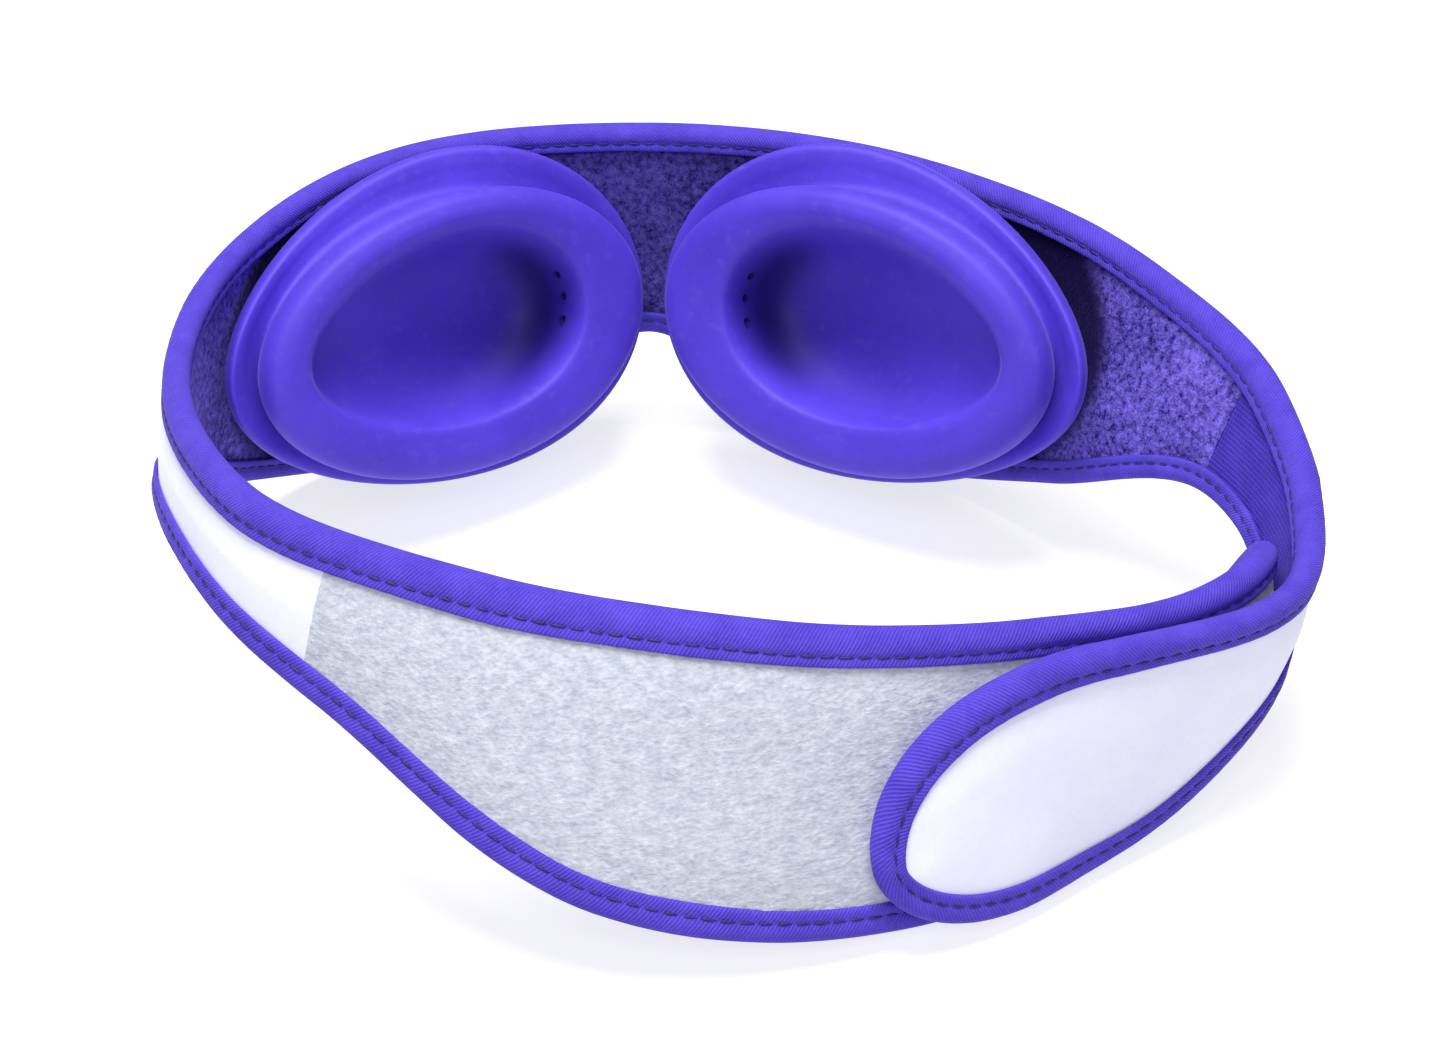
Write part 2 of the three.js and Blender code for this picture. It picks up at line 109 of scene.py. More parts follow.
class Graph:
    """A node tree with one method that adds any node."""

    def __init__(self, tree: bpy.types.NodeTree) -> None:
        """Wrap an empty tree.

        Args:
            tree: The node tree to build in.
        """
        self.tree = tree

    def node(
        self,
        kind: str,
        settings: Optional[dict[str, Any]] = None,
        inputs: Optional[dict[Any, Any]] = None,
        output: Any = 0,
    ) -> Channel:
        """Add a node, set it, and join or set its inputs.

        Args:
            kind: Blender's type name of the node.
            settings: Node properties; "stops" sets a colour ramp.
            inputs: Socket name or number, and a value or Channel for it.
            output: Name or number of the output that is returned.

        Returns:
            The chosen output.
        """
        made = self.tree.nodes.new(kind)
        for name, value in (settings or {}).items():
            if name == "stops":
                self._set_ramp(made.color_ramp, value)
            else:
                setattr(made, name, value)
        for key, value in (inputs or {}).items():
            socket = made.inputs[key]
            if isinstance(value, Channel):
                self.tree.links.new(value.socket, socket)
            else:
                socket.default_value = value
        return Channel(self, made.outputs[output]) if made.outputs else Channel(self, None)

    @staticmethod
    def _set_ramp(ramp: bpy.types.ColorRamp, stops: Sequence[tuple]) -> None:
        """Give a colour ramp its stops."""
        while len(ramp.elements) < len(stops):
            ramp.elements.new(1.0)
        for element, (place, colour) in zip(ramp.elements, stops):
            element.position = place
            element.color = (*colour, 1.0)

    def math(self, operation: str, *values: Number) -> Channel:
        """Add a Math node."""
        return self.node("ShaderNodeMath", {"operation": operation}, dict(enumerate(values)))

    def blend(self, share: Number, first: Any, second: Any) -> Channel:
        """Mix two colours.

        Args:
            share: How much of the second colour there is.
            first: Colour or Channel.
            second: Colour or Channel.

        Returns:
            The mixed colour.
        """
        values = {0: share, 6: self._colour(first), 7: self._colour(second)}
        return self.node("ShaderNodeMix", {"data_type": "RGBA"}, values, 2)

    @staticmethod
    def _colour(value: Any) -> Any:
        """Give a plain colour its alpha."""
        return value if isinstance(value, Channel) else (*value, 1.0)

    def random(self, low: float, high: float, seed: Channel) -> Channel:
        """Random number between two limits, one for each instance."""
        values = {2: low, 3: high, "Seed": seed}
        return self.node("FunctionNodeRandomValue", {"data_type": "FLOAT"}, values, 1)

    def clamp(self, value: Channel, low: float, high: float) -> Channel:
        """Stretch a value between two limits to 0 and 1, and cut it there."""
        values = {0: value, 1: low, 2: high, 3: 0.0, 4: 1.0}
        return self.node("ShaderNodeMapRange", {"clamp": True}, values)


def srgb(red: int, green: int, blue: int) -> tuple[float, float, float]:
    """Linear colour from display values.

    Args:
        red: 0 to 255.
        green: 0 to 255.
        blue: 0 to 255.

    Returns:
        The three linear values.
    """
    shares = (value / 255 for value in (red, green, blue))
    return tuple(s / 12.92 if s <= 0.04045 else ((s + 0.055) / 1.055) ** 2.4 for s in shares)


@dataclass(frozen=True)
class Finish:
    """What every finish shares: a name and the shader's constant values."""

    name: str = "finish"
    sheen: float = 0.0
    sheen_roughness: float = 0.5
    sheen_tint: tuple = (1.0, 1.0, 1.0)
    coat: float = 0.0
    specular: float = 0.5

    def make(self) -> bpy.types.Material:
        """Build the material.

        Returns:
            The finished material.
        """
        made = bpy.data.materials.get(self.name)
        if made:
            return made
        made = bpy.data.materials.new(self.name)
        made.use_nodes = True
        made.node_tree.nodes.clear()
        graph = Graph(made.node_tree)
        surface = self.surface(graph)
        shader = graph.node("ShaderNodeBsdfPrincipled", None, {
            "Sheen Weight": self.sheen,
            "Sheen Roughness": self.sheen_roughness,
            "Sheen Tint": (*self.sheen_tint, 1.0),
            "Coat Weight": self.coat,
            "Coat Roughness": 0.35,
            "Specular IOR Level": self.specular,
            **surface,
        })
        graph.node("ShaderNodeOutputMaterial", None, {"Surface": shader})
        return made

    def surface(self, graph: Graph) -> dict[str, Any]:
        """Build what varies over the surface.

        Args:
            graph: The material's node tree.

        Returns:
            Values and links of the shader's sockets.
        """
        raise NotImplementedError

    @staticmethod
    def place(graph: Graph) -> Channel:
        """Object coordinates."""
        return graph.node("ShaderNodeTexCoord", None, None, "Object")

    @staticmethod
    def noise(
        graph: Graph, size: float, detail: float = 3.0, where: Optional[Channel] = None
    ) -> Channel:
        """Soft noise.

        Args:
            graph: The material's node tree.
            size: Size of its grains in millimetres.
            detail: How many finer layers it has.
            where: Coordinates, or the object's own.

        Returns:
            The noise value, from 0 to 1.
        """
        spot = where or Finish.place(graph)
        values = {"Vector": spot, "Scale": 1 / (size * MM), "Detail": detail, "Roughness": 0.55}
        return graph.node("ShaderNodeTexNoise", None, values, 0)

    @staticmethod
    def bump(graph: Graph, height: Channel, depth: float, strength: float = 1.0) -> Channel:
        """Bump from a height.

        Args:
            graph: The material's node tree.
            height: The height map.
            depth: Its full depth in millimetres.
            strength: How strongly it shows.

        Returns:
            The bent normal.
        """
        values = {"Height": height, "Distance": depth * MM, "Strength": strength}
        return graph.node("ShaderNodeBump", None, values)

    @staticmethod
    def painted_light(graph: Graph) -> Channel:
        """Painted light level of a spot, from 0 for the full painted shade colour to 1 for none."""
        return graph.node("ShaderNodeAttribute", {"attribute_name": PAINTED_LIGHT_ATTRIBUTE}, None, "Fac")

    @staticmethod
    def cloth_axes(graph: Graph) -> tuple[Channel, Channel]:
        """Distances along and across the cloth, in metres."""
        uv = graph.node("ShaderNodeUVMap", {"uv_map": "Cloth"})
        split = graph.node("ShaderNodeSeparateXYZ", None, {0: uv})
        return split, Channel(graph, split.socket.node.outputs[1])


@dataclass(frozen=True)
class LaminatedFace(Finish):
    """Smooth white stretch cloth bonded to thin foam."""

    colour: tuple = srgb(236, 237, 255)
    shade: tuple = srgb(224, 226, 252)
    knit: float = 0.55

    def surface(self, graph: Graph) -> dict[str, Any]:
        """Very fine knit, faint clouding and soft creases.

        Args:
            graph: The material's node tree.

        Returns:
            Values and links of the shader's sockets.
        """
        along, across = self.cloth_axes(graph)
        columns = graph.math("SINE", along * (TURN / (self.knit * MM)))
        courses = graph.math("SINE", across * (TURN / (self.knit * 0.8 * MM)))
        cloud = self.noise(graph, 16.0, 4.0)
        grain = self.noise(graph, 0.9, 3.0)
        worn = graph.clamp(cloud * 0.75 + grain * 0.25, 0.35, 0.7)
        weave = columns * courses
        height = weave * 0.3 + grain + cloud * 1.5
        return {
            "Base Color": graph.blend(worn, self.shade, self.colour),
            "Roughness": 0.5 + grain * 0.2,
            "Normal": self.bump(graph, height, 0.05, 0.6),
        }


@dataclass(frozen=True)
class LoopPile(Finish):
    """Brushed grey loop pile that hooks grip."""

    colour: tuple = srgb(206, 210, 220)
    shade: tuple = srgb(156, 163, 180)

    def surface(self, graph: Graph) -> dict[str, Any]:
        """Tufts, stray fibres and brushed patches.

        Args:
            graph: The material's node tree.

        Returns:
            Values and links of the shader's sockets.
        """
        along, across = self.cloth_axes(graph)
        brushed = graph.node("ShaderNodeCombineXYZ", None, {0: along * 0.55, 1: across, 2: 0.0})
        tufts = self.noise(graph, 1.3, 3.0, brushed)
        fibres = self.noise(graph, 0.5, 3.0, brushed)
        patches = self.noise(graph, 9.0, 3.0)
        mixed = tufts * 0.5 + fibres * 0.42 + patches * 0.08
        return {
            "Base Color": graph.blend(graph.clamp(mixed, 0.33, 0.66), self.shade, self.colour),
            "Roughness": 0.85 + fibres * 0.15,
            "Normal": self.bump(graph, tufts + fibres * 0.8, 0.28, 0.75),
        }


@dataclass(frozen=True)
class Velour(Finish):
    """Purple velour fleece, mottled where the nap lies different ways."""

    colour: tuple = srgb(132, 112, 232)
    shade: tuple = srgb(30, 14, 104)
    # Painted shade colour, for the fleece under and round the cups and between them at the nose.
    deep: tuple = srgb(16, 6, 58)
    tuft: float = 0.9

    def surface(self, graph: Graph) -> dict[str, Any]:
        """Nap in light and dark flecks, darkened toward a painted shade colour under and round the
        cups and at the nose.

        Args:
            graph: The material's node tree.

        Returns:
            Values and links of the shader's sockets.
        """
        flecks = self.noise(graph, self.tuft * 1.3, 4.0)
        fibres = self.noise(graph, self.tuft * 0.4, 3.0)
        lay = self.noise(graph, 13.0, 3.0)
        mixed = flecks * 0.48 + fibres * 0.3 + lay * 0.22
        nap = graph.blend(graph.clamp(mixed, 0.4, 0.61), self.shade, self.colour)
        return {
            # Painted shade: the nap colour goes toward the painted shade colour where the painted
            # light level is low.
            "Base Color": graph.blend(self.painted_light(graph), self.deep, nap),
            "Roughness": 0.8 + fibres * 0.2,
            "Normal": self.bump(graph, flecks + fibres, 0.35, 0.8),
        }


@dataclass(frozen=True)
class RibKnit(Finish):
    """Smooth darker jersey with fine ribs along the strap."""

    colour: tuple = srgb(74, 56, 186)
    shade: tuple = srgb(42, 28, 138)
    rib: float = 0.8

    def surface(self, graph: Graph) -> dict[str, Any]:
        """Ribs, stitches within them, and faint streaks.

        Args:
            graph: The material's node tree.

        Returns:
            Values and links of the shader's sockets.
        """
        along, across = self.cloth_axes(graph)
        ribs = graph.math("SINE", across * (TURN / (self.rib * MM)))
        loops = graph.math("SINE", along * (TURN / (self.rib * 0.9 * MM)) + ribs * 1.2)
        cloud = self.noise(graph, 6.0, 4.0)
        grain = self.noise(graph, 0.6, 2.0)
        mixed = ribs * 0.12 + loops * 0.06 + cloud * 0.6 + grain * 0.35
        return {
            "Base Color": graph.blend(graph.clamp(mixed, 0.25, 0.7), self.shade, self.colour),
            "Roughness": 0.75 + grain * 0.2,
            "Normal": self.bump(graph, ribs * 0.6 + loops * 0.4 + grain, 0.1, 0.7),
        }


@dataclass(frozen=True)
class TwillTape(Finish):
    """Purple twill tape with fine slanting ribs."""

    colour: tuple = srgb(92, 74, 210)
    shade: tuple = srgb(62, 46, 168)
    rib: float = 0.62
    slant: float = 0.8

    def surface(self, graph: Graph) -> dict[str, Any]:
        """Slanting ribs crossed by the weft, and rubbed high spots.

        Args:
            graph: The material's node tree.

        Returns:
            Values and links of the shader's sockets.
        """
        along, across = self.cloth_axes(graph)
        ribs = graph.math("SINE", (along + across * self.slant) * (TURN / (self.rib * MM)))
        weft = graph.math("SINE", (across - along * self.slant) * (TURN / (self.rib * 0.5 * MM)))
        cloud = self.noise(graph, 5.0, 4.0)
        grain = self.noise(graph, 0.5, 3.0)
        mixed = ribs * 0.13 + weft * 0.05 + cloud * 0.55 + grain * 0.4
        return {
            "Base Color": graph.blend(graph.clamp(mixed, 0.22, 0.72), self.shade, self.colour),
            "Roughness": 0.62 + grain * 0.25,
            "Normal": self.bump(graph, ribs * 0.7 + weft * 0.2 + grain * 0.6, 0.09, 0.8),
        }


@dataclass(frozen=True)
class Thread(Finish):
    """Twisted sewing thread."""

    colour: tuple = srgb(40, 26, 122)
    shade: tuple = srgb(16, 8, 60)
    twist: float = 0.5

    def surface(self, graph: Graph) -> dict[str, Any]:
        """Plies of the twist.

        Args:
            graph: The material's node tree.

        Returns:
            Values and links of the shader's sockets.
        """
        plies = self.noise(graph, self.twist, 2.0)
        return {
            "Base Color": graph.blend(graph.clamp(plies, 0.35, 0.65), self.shade, self.colour),
            "Roughness": 0.5 + plies * 0.2,
            "Normal": self.bump(graph, plies, 0.08, 0.6),
        }


@dataclass(frozen=True)
class SoftSilicone(Finish):
    """Matt moulded silicone with a satin skin."""

    colour: tuple = srgb(82, 58, 202)
    shade: tuple = srgb(74, 50, 188)
    # Painted shade colour, for the bowl's nose side and the waist.
    deep: tuple = srgb(28, 8, 100)
    glow: float = 0.04

    def surface(self, graph: Graph) -> dict[str, Any]:
        """Fine moulded skin, faint dust, handling marks and painted shade in the bowl and the
        waist.

        Args:
            graph: The material's node tree.

        Returns:
            Values and links of the shader's sockets.
        """
        cloud = self.noise(graph, 14.0, 4.0)
        skin = self.noise(graph, 0.5, 2.0)
        dust = graph.clamp(self.noise(graph, 2.2, 5.0), 0.55, 0.8)
        tone = graph.blend(graph.clamp(cloud, 0.3, 0.7), self.shade, self.colour)
        dusty = graph.blend(dust * 0.05, tone, srgb(190, 184, 246))
        return {
            # Painted shade: the colour goes toward the painted shade colour where the painted light
            # level is low.
            "Base Color": graph.blend(self.painted_light(graph), self.deep, dusty),
            "Roughness": 0.52 + cloud * 0.1 + dust * 0.1,
            "Subsurface Weight": self.glow,
            "Subsurface Radius": (0.5, 0.45, 1.0),
            "Subsurface Scale": 0.003,
            "Normal": self.bump(graph, skin + cloud * 1.4, 0.03, 0.5),
        }


@dataclass(frozen=True)
class HookTape(Finish):
    """Nylon hook tape: a woven ground under the moulded hooks."""

    colour: tuple = srgb(84, 66, 196)
    shade: tuple = srgb(42, 28, 122)
    pitch: float = 0.65

    def surface(self, graph: Graph) -> dict[str, Any]:
        """Woven ground with glossy nylon highlights.

        Args:
            graph: The material's node tree.

        Returns:
            Values and links of the shader's sockets.
        """
        spot = graph.node("ShaderNodeSeparateXYZ", None, {0: self.place(graph)})
        depth = Channel(graph, spot.socket.node.outputs[2])
        warp = graph.math("SINE", spot * (TURN / (self.pitch * MM)))
        weft = graph.math("SINE", depth * (TURN / (self.pitch * MM)))
        grain = self.noise(graph, 0.7, 3.0)
        mixed = warp * weft * 0.3 + grain
        return {
            "Base Color": graph.blend(graph.clamp(mixed, 0.2, 0.9), self.shade, self.colour),
            "Roughness": 0.42 + grain * 0.25,
            "Normal": self.bump(graph, mixed, 0.12, 0.7),
        }


@dataclass(frozen=True)
class MouldedPlate(Finish):
    """Satin moulded plate with a faint flow pattern."""

    colour: tuple = srgb(84, 68, 200)
    shade: tuple = srgb(66, 50, 176)

    def surface(self, graph: Graph) -> dict[str, Any]:
        """Flow lines, fine grain and handling scuffs.

        Args:
            graph: The material's node tree.

        Returns:
            Values and links of the shader's sockets.
        """
        flow = self.noise(graph, 5.0, 5.0)
        grain = self.noise(graph, 0.35, 2.0)
        scuffs = graph.clamp(self.noise(graph, 1.6, 6.0), 0.58, 0.75)
        return {
            "Base Color": graph.blend(graph.clamp(flow, 0.3, 0.7), self.shade, self.colour),
            "Roughness": 0.38 + scuffs * 0.25 + grain * 0.1,
            "Normal": self.bump(graph, grain + scuffs * 0.4, 0.02, 0.6),
        }


PURPLE_SHEEN = (0.32, 0.24, 0.95)
PALE_SHEEN = (0.55, 0.5, 1.0)


class Cloth(Enum):
    """The finishes of the mask, each with the record's slot that it stands for."""

    FACE = ("white_face", LaminatedFace("laminated_face", sheen=0.25))
    PILE = ("loop_pile", LoopPile("grey_loop_pile", sheen=0.5, sheen_roughness=0.4))
    FLEECE = ("fleece", Velour("velour_fleece", 0.5, 0.35, PURPLE_SHEEN, specular=0.1))
    KNIT = ("knit", RibKnit("ribbed_knit", 0.25, 0.5, PURPLE_SHEEN, specular=0.2))
    TAPE = ("binding_tape", TwillTape("twill_tape", 0.2, 0.5, PURPLE_SHEEN, specular=0.22))
    THREAD = ("binding_tape", Thread("sewing_thread"))
    HOOKS = ("hook_tape", HookTape("nylon_hooks"))
    SILICONE = ("silicone", SoftSilicone("soft_silicone", 0.22, 0.35, PALE_SHEEN, specular=0.32))
    PLATE = ("cup_plate", MouldedPlate("moulded_plate"))

    @property
    def slot(self) -> str:
        """Name of the record's slot."""
        return self.value[0]

    def material(self) -> bpy.types.Material:
        """The Blender material."""
        return self.value[1].make()


# --- Meshes ------------------------------------------------------------------------


def linked(name: str, data: bpy.types.ID) -> bpy.types.Object:
    """Object with the given data, linked into the scene."""
    made = bpy.data.objects.new(name, data)
    bpy.context.scene.collection.objects.link(made)
    return made


def plain_mesh(name: str, points: np.ndarray, edges: Sequence, faces: Sequence) -> bpy.types.Mesh:
    """Mesh from points, edges and faces."""
    mesh = bpy.data.meshes.new(name)
    mesh.from_pydata(points.tolist(), edges, faces)
    return mesh


def keep_result(piece: bpy.types.Object) -> None:
    """Swap a piece's mesh for what its modifiers make of it, and drop the modifiers."""
    bpy.context.view_layer.update()
    shown = piece.evaluated_get(bpy.context.evaluated_depsgraph_get())
    result = bpy.data.meshes.new_from_object(shown)
    piece.modifiers.clear()
    old, piece.data = piece.data, result
    bpy.data.meshes.remove(old)


def finish_mesh(piece: bpy.types.Object, sharp: float = 48.0) -> None:
    """Turn faces outward, shade them smooth and keep real corners sharp.

    Args:
        piece: Closed mesh object.
        sharp: Angle in degrees past which an edge is a corner.
    """
    build = bmesh.new()
    build.from_mesh(piece.data)
    bmesh.ops.recalc_face_normals(build, faces=build.faces)
    build.to_mesh(piece.data)
    build.free()
    piece.data.shade_smooth()
    piece.data.set_sharp_from_angle(angle=math.radians(sharp))


def make_piece(
    name: str,
    points: np.ndarray,
    faces: Sequence[Sequence[int]],
    material: bpy.types.Material,
    uv: Optional[np.ndarray] = None,
    painted_light: Optional[np.ndarray] = None,
) -> bpy.types.Object:
    """Make a mesh object.

    Args:
        name: Its name.
        points: Rows of x, y, z in metres.
        faces: Point numbers of each face.
        material: Its material.
        uv: Rows of distances along and across the cloth, one for each point.
        painted_light: Painted light level of each point, from 0 for full painted shade to 1 for
            none.

    Returns:
        The object, linked into the scene.
    """
    mesh = plain_mesh(name, points, [], faces)
    if uv is not None:
        layer = mesh.uv_layers.new(name="Cloth")
        corners = np.zeros(len(mesh.loops), np.int32)
        mesh.loops.foreach_get("vertex_index", corners)
        layer.data.foreach_set("uv", uv[corners].astype(np.float32).ravel())
    if painted_light is not None:
        values = mesh.attributes.new(PAINTED_LIGHT_ATTRIBUTE, "FLOAT", "POINT").data
        values.foreach_set("value", painted_light.astype(np.float32).ravel())
    mesh.materials.append(material)
    piece = linked(name, mesh)
    finish_mesh(piece)
    return piece


def wall_faces(rings: int, around: int) -> list[list[int]]:
    """Faces that join closed rings of points, one ring after the other.

    Args:
        rings: How many rings there are.
        around: Points in a ring.

    Returns:
        The faces.
    """
    start = np.arange(rings - 1)[:, None] * around
    place = np.arange(around)[None, :]
    after = (place + 1) % around
    corners = (start + place, start + after, start + around + after, start + around + place)
    return np.stack(corners, 2).reshape(-1, 4).tolist()


def there_and_back(rows: np.ndarray) -> np.ndarray:
    """Rows followed by themselves reversed, for the front and back of a closed strip."""
    return np.concatenate([rows, rows[:, ::-1]], 1)


def closed_strip(
    name: str,
    rings: np.ndarray,
    uv: np.ndarray,
    material: bpy.types.Material,
    painted_light: Optional[np.ndarray] = None,
) -> bpy.types.Object:
    """Join rings into a closed skin whose ends are capped with strips.

    Args:
        name: Name of the piece.
        rings: Points as (ring, place in ring, 3); the second half runs back beside the first.
        uv: Cloth distances, as (ring, place in ring, 2).
        material: Its material.
        painted_light: Painted light level of each point, as (ring, place in ring).

    Returns:
        The piece.
    """
    count, around = rings.shape[:2]
    faces = wall_faces(count, around)
    last = (count - 1) * around
    for step in range(around // 2 - 1):
        cap = [step, step + 1, around - 2 - step, around - 1 - step]
        faces += [cap, [last + corner for corner in cap]]
    return make_piece(name, rings.reshape(-1, 3), faces, material, uv.reshape(-1, 2), painted_light)


def distances(points: np.ndarray) -> np.ndarray:
    """Distance along a polyline at each of its points."""
    return np.concatenate([[0], np.cumsum(np.linalg.norm(np.diff(points, axis=0), axis=1))])


def smoothstep(value: np.ndarray, low: float, high: float) -> np.ndarray:
    """Smooth rise from 0 at low to 1 at high."""
    share = np.clip((value - low) / (high - low), 0, 1)
    return share * share * (3 - 2 * share)


def ripple(along: np.ndarray, across: np.ndarray, size: float, seed: int) -> np.ndarray:
    """Gentle uneven waves from -1 to 1.

    Args:
        along: Distances along the cloth in millimetres.
        across: Distances across it.
        size: Rough length of a wave.
        seed: Number that picks the pattern.

    Returns:
        The wave height at each place.
    """
    picks = np.random.default_rng(seed)
    total = np.zeros(np.broadcast(along, across).shape)
    for _ in range(6):
        heading, phase = picks.uniform(0, TURN, 2)
        rate = TURN / (size * picks.uniform(0.7, 1.6))
        way = along * math.cos(heading) + across * math.sin(heading)
        total = total + np.sin(way * rate + phase)
    return total / 6


# --- Band --------------------------------------------------------------------------


@dataclass(frozen=True)
class RoundEnd:
    """A rounded end of the band."""

    tip: float
    way: int
    height: float
    top_reach: float
    bottom_reach: float


@dataclass
class BandPath:
    """The closed loop and the heights that every layer of the band follows."""

    length: float = 537.5
    shift: tuple = (0.300, -0.771, 0.0)
    shape: tuple = (
        (0, 80.5), (41, 62.5), (70, 29.5), (83.5, -11), (78, -51.5), (38, -65),
        (-6.5, -70), (-51, -63), (-87, -35.5), (-96, 9), (-82, 52.5), (-45.5, 80),
    )
    profile: tuple = (
        (-385, 41.5, -1, 17), (-340, 40.5, -1, -4), (-295, 43.5, 2, -27), (-250, 49, 11, -36),
        (-205, 54.5, 31.8, -29), (-165, 56.5, 38.5, -20), (-130, 55.5, 32, -11),
        (-95, 57.5, 10.5, -2.5), (-60, 60.5, -1, 6), (0, 61.5, -1, 9.5), (60, 60, -1, 11),
        (95, 57, 10.5, 15.5), (130, 50.5, 26, 20), (165, 40, 19.5, 17), (200, 39.5, 3, 11),
        (225, 38.5, 1.5, 6),
    )
    lean_height: float = 30.0
    notch: tuple = (20.5, 22.0)
    left_reach: float = 385.0
    tab_overlap: float = 96.5
    overlap_offset: float = 5.4
    overlap_ramp: float = 50.0
    lean_ramp: float = 32.0
    end_curl: float = 3.4
    curl_stations: tuple = (335, 368)
    curl_height: tuple = (26, 15)
    samples: int = 12000
    table: dict = field(default_factory=dict)

    def __post_init__(self) -> None:
        """Lay out the loop at even steps of its length."""
        points = np.array(self.shape, float)
        even = self._trace(points)
        points *= self.length / distances(even)[-1]
        even = self._trace(points)
        travel = distances(even)
        self.table["u"] = travel * (self.length / travel[-1])
        self.table["xy"] = even
        tangent = np.roll(even[:-1], -1, 0) - np.roll(even[:-1], 1, 0)
        tangent /= np.linalg.norm(tangent, axis=1)[:, None]
        self.table["tangent"] = np.vstack([tangent, tangent[:1]])

    def _trace(self, points: np.ndarray) -> np.ndarray:
        """Closed smooth curve through the shape's points."""
        count = len(points)
        place = np.linspace(0, count, self.samples + 1)
        index = np.minimum(place.astype(int), count - 1)
        t = (place - index)[:, None]
        corners = [points[(index + step) % count] for step in (-1, 0, 1, 2)]
        sides = [b - a for a, b in zip(corners, corners[1:])]
        gaps = [np.sqrt(np.linalg.norm(side, axis=1))[:, None] for side in sides]
        slopes = []
        for step in (0, 1):
            a, b, c = corners[step:step + 3]
            near, far = gaps[step], gaps[step + 1]
            slopes.append(((b - a) / near - (c - a) / (near + far) + (c - b) / far) * gaps[1])
        start, stop = corners[1], corners[2]
        square = -3 * start + 3 * stop - 2 * slopes[0] - slopes[1]
        cube = 2 * start - 2 * stop + slopes[0] + slopes[1]
        return start + slopes[0] * t + square * t**2 + cube * t**3

    def column(self, along: np.ndarray, which: int) -> np.ndarray:
        """Smooth value of one profile column.

        Args:
            along: Stations in millimetres from the nose.
            which: 1 for the top edge, 2 for the bottom edge, 3 for the lean.

        Returns:
            The value at each station.
        """
        rows = np.array(self.profile, float)
        at, value = rows[:, 0], rows[:, which]
        wide = np.diff(at)
        rise = np.diff(value) / wide
        slope = np.empty(len(at))
        slope[0], slope[-1] = rise[0], rise[-1]
        slope[1:-1] = (rise[:-1] * wide[1:] + rise[1:] * wide[:-1]) / (wide[:-1] + wide[1:])
        where = np.clip(along, at[0], at[-1])
        index = np.clip(np.searchsorted(at, where, side="right") - 1, 0, len(at) - 2)
        t = (where - at[index]) / wide[index]
        bend = t * t * (3 - 2 * t)
        return value[index] + rise[index] * wide[index] * bend + t * (1 - t) * wide[index] * (
            (1 - t) * slope[index] - t * slope[index + 1]
        )

    def edge(self, along: np.ndarray, upper: bool) -> np.ndarray:
        """Height of the band's upper or lower edge, before its ends are rounded."""
        if upper:
            return self.column(along, 1)
        arch = self.notch[0] * np.exp(-((along / self.notch[1]) ** 2))
        return np.maximum(0, self.column(along, 2) + arch)

    @property
    def overlap_start(self) -> float:
        """Station where the tab side starts to lie over the left strap."""
        return self.length - self.left_reach

    def ends(self) -> tuple[RoundEnd, RoundEnd]:
        """The tab's rounded end and the inner strap's."""
        tab = RoundEnd(self.overlap_start + self.tab_overlap, 1, 15, 42, 27)
        return tab, RoundEnd(-self.left_reach, -1, 20, 24, 24)

    def lean(self, along: np.ndarray) -> np.ndarray:
        """Outward lean of the band in radians."""
        share = smoothstep(along, self.overlap_start - self.lean_ramp, self.overlap_start)
        under = self.column(np.maximum(along - self.length, -self.left_reach), 3)
        return np.radians(self.column(along, 3) * (1 - share) + under * share)

    def plan(self, along: np.ndarray) -> tuple[np.ndarray, np.ndarray]:
        """Loop point and outward direction, seen from above."""
        travel = self._look_up(along, "tangent")
        travel = travel / np.linalg.norm(travel, axis=-1, keepdims=True)
        return self._look_up(along, "xy"), np.stack([-travel[..., 1], travel[..., 0]], -1)

    def _look_up(self, along: np.ndarray, key: str) -> np.ndarray:
        """Values of one column of the loop's table at the given stations."""
        where = np.mod(along, self.length)
        rows = self.table[key]
        return np.stack([np.interp(where, self.table["u"], rows[:, axis]) for axis in (0, 1)], -1)

    def point(self, along: Any, height: Any, depth: Any) -> np.ndarray:
        """Places in the frame.

        Args:
            along: Stations in millimetres from the nose.
            height: Heights in millimetres.
            depth: Distances outward from the band's middle, in millimetres.

        Returns:
            Points in metres, with x, y and z in the last axis.
        """
        along, height, depth = np.broadcast_arrays(
            *(np.asarray(value, float) for value in (along, height, depth))
        )
        spot, outward = self.plan(along)
        ramp = smoothstep(along, self.overlap_start - self.overlap_ramp, self.overlap_start)
        leant = np.tan(self.lean(along)) * (height - self.lean_height)
        spread = depth + self.overlap_offset * ramp + leant
        above = np.clip(height - self.curl_height[0], 0, None) / self.curl_height[1]
        spread = spread - self.end_curl * smoothstep(-along, *self.curl_stations) * above**2
        flat = spot + outward * spread[..., None]
        return (np.concatenate([flat, height[..., None]], -1) + np.array(self.shift)) * MM

    def edge_height(self, along: np.ndarray, upper: bool, inset: float) -> np.ndarray:
        """Height of an edge with its rounded ends, moved in by an inset."""
        side = 1 if upper else -1
        result = self.edge(along, upper) - side * inset
        for end in self.ends():
            reach = end.top_reach if upper else end.bottom_reach
            start = end.tip - end.way * reach
            past = (along - start) * end.way
            rise = (float(self.edge(np.array(start), upper)) - end.height) * side - inset
            share = np.clip(past / (reach - inset), 0, 1)
            curved = end.height + side * rise * np.sqrt(1 - share**2)
            result = np.where((past > 0) & (np.sign(along) == end.way), curved, result)
        return result


PATH = BandPath()
FACE_SEAM = 80
LINING_SEAM = 130
TAB_SEAM = 152
PILE_SEAM = 202


@dataclass(frozen=True)
class Bend:
    """Where a piece turns between two bodies, as stations along the band."""

    first: str
    second: str
    start: float
    stop: float


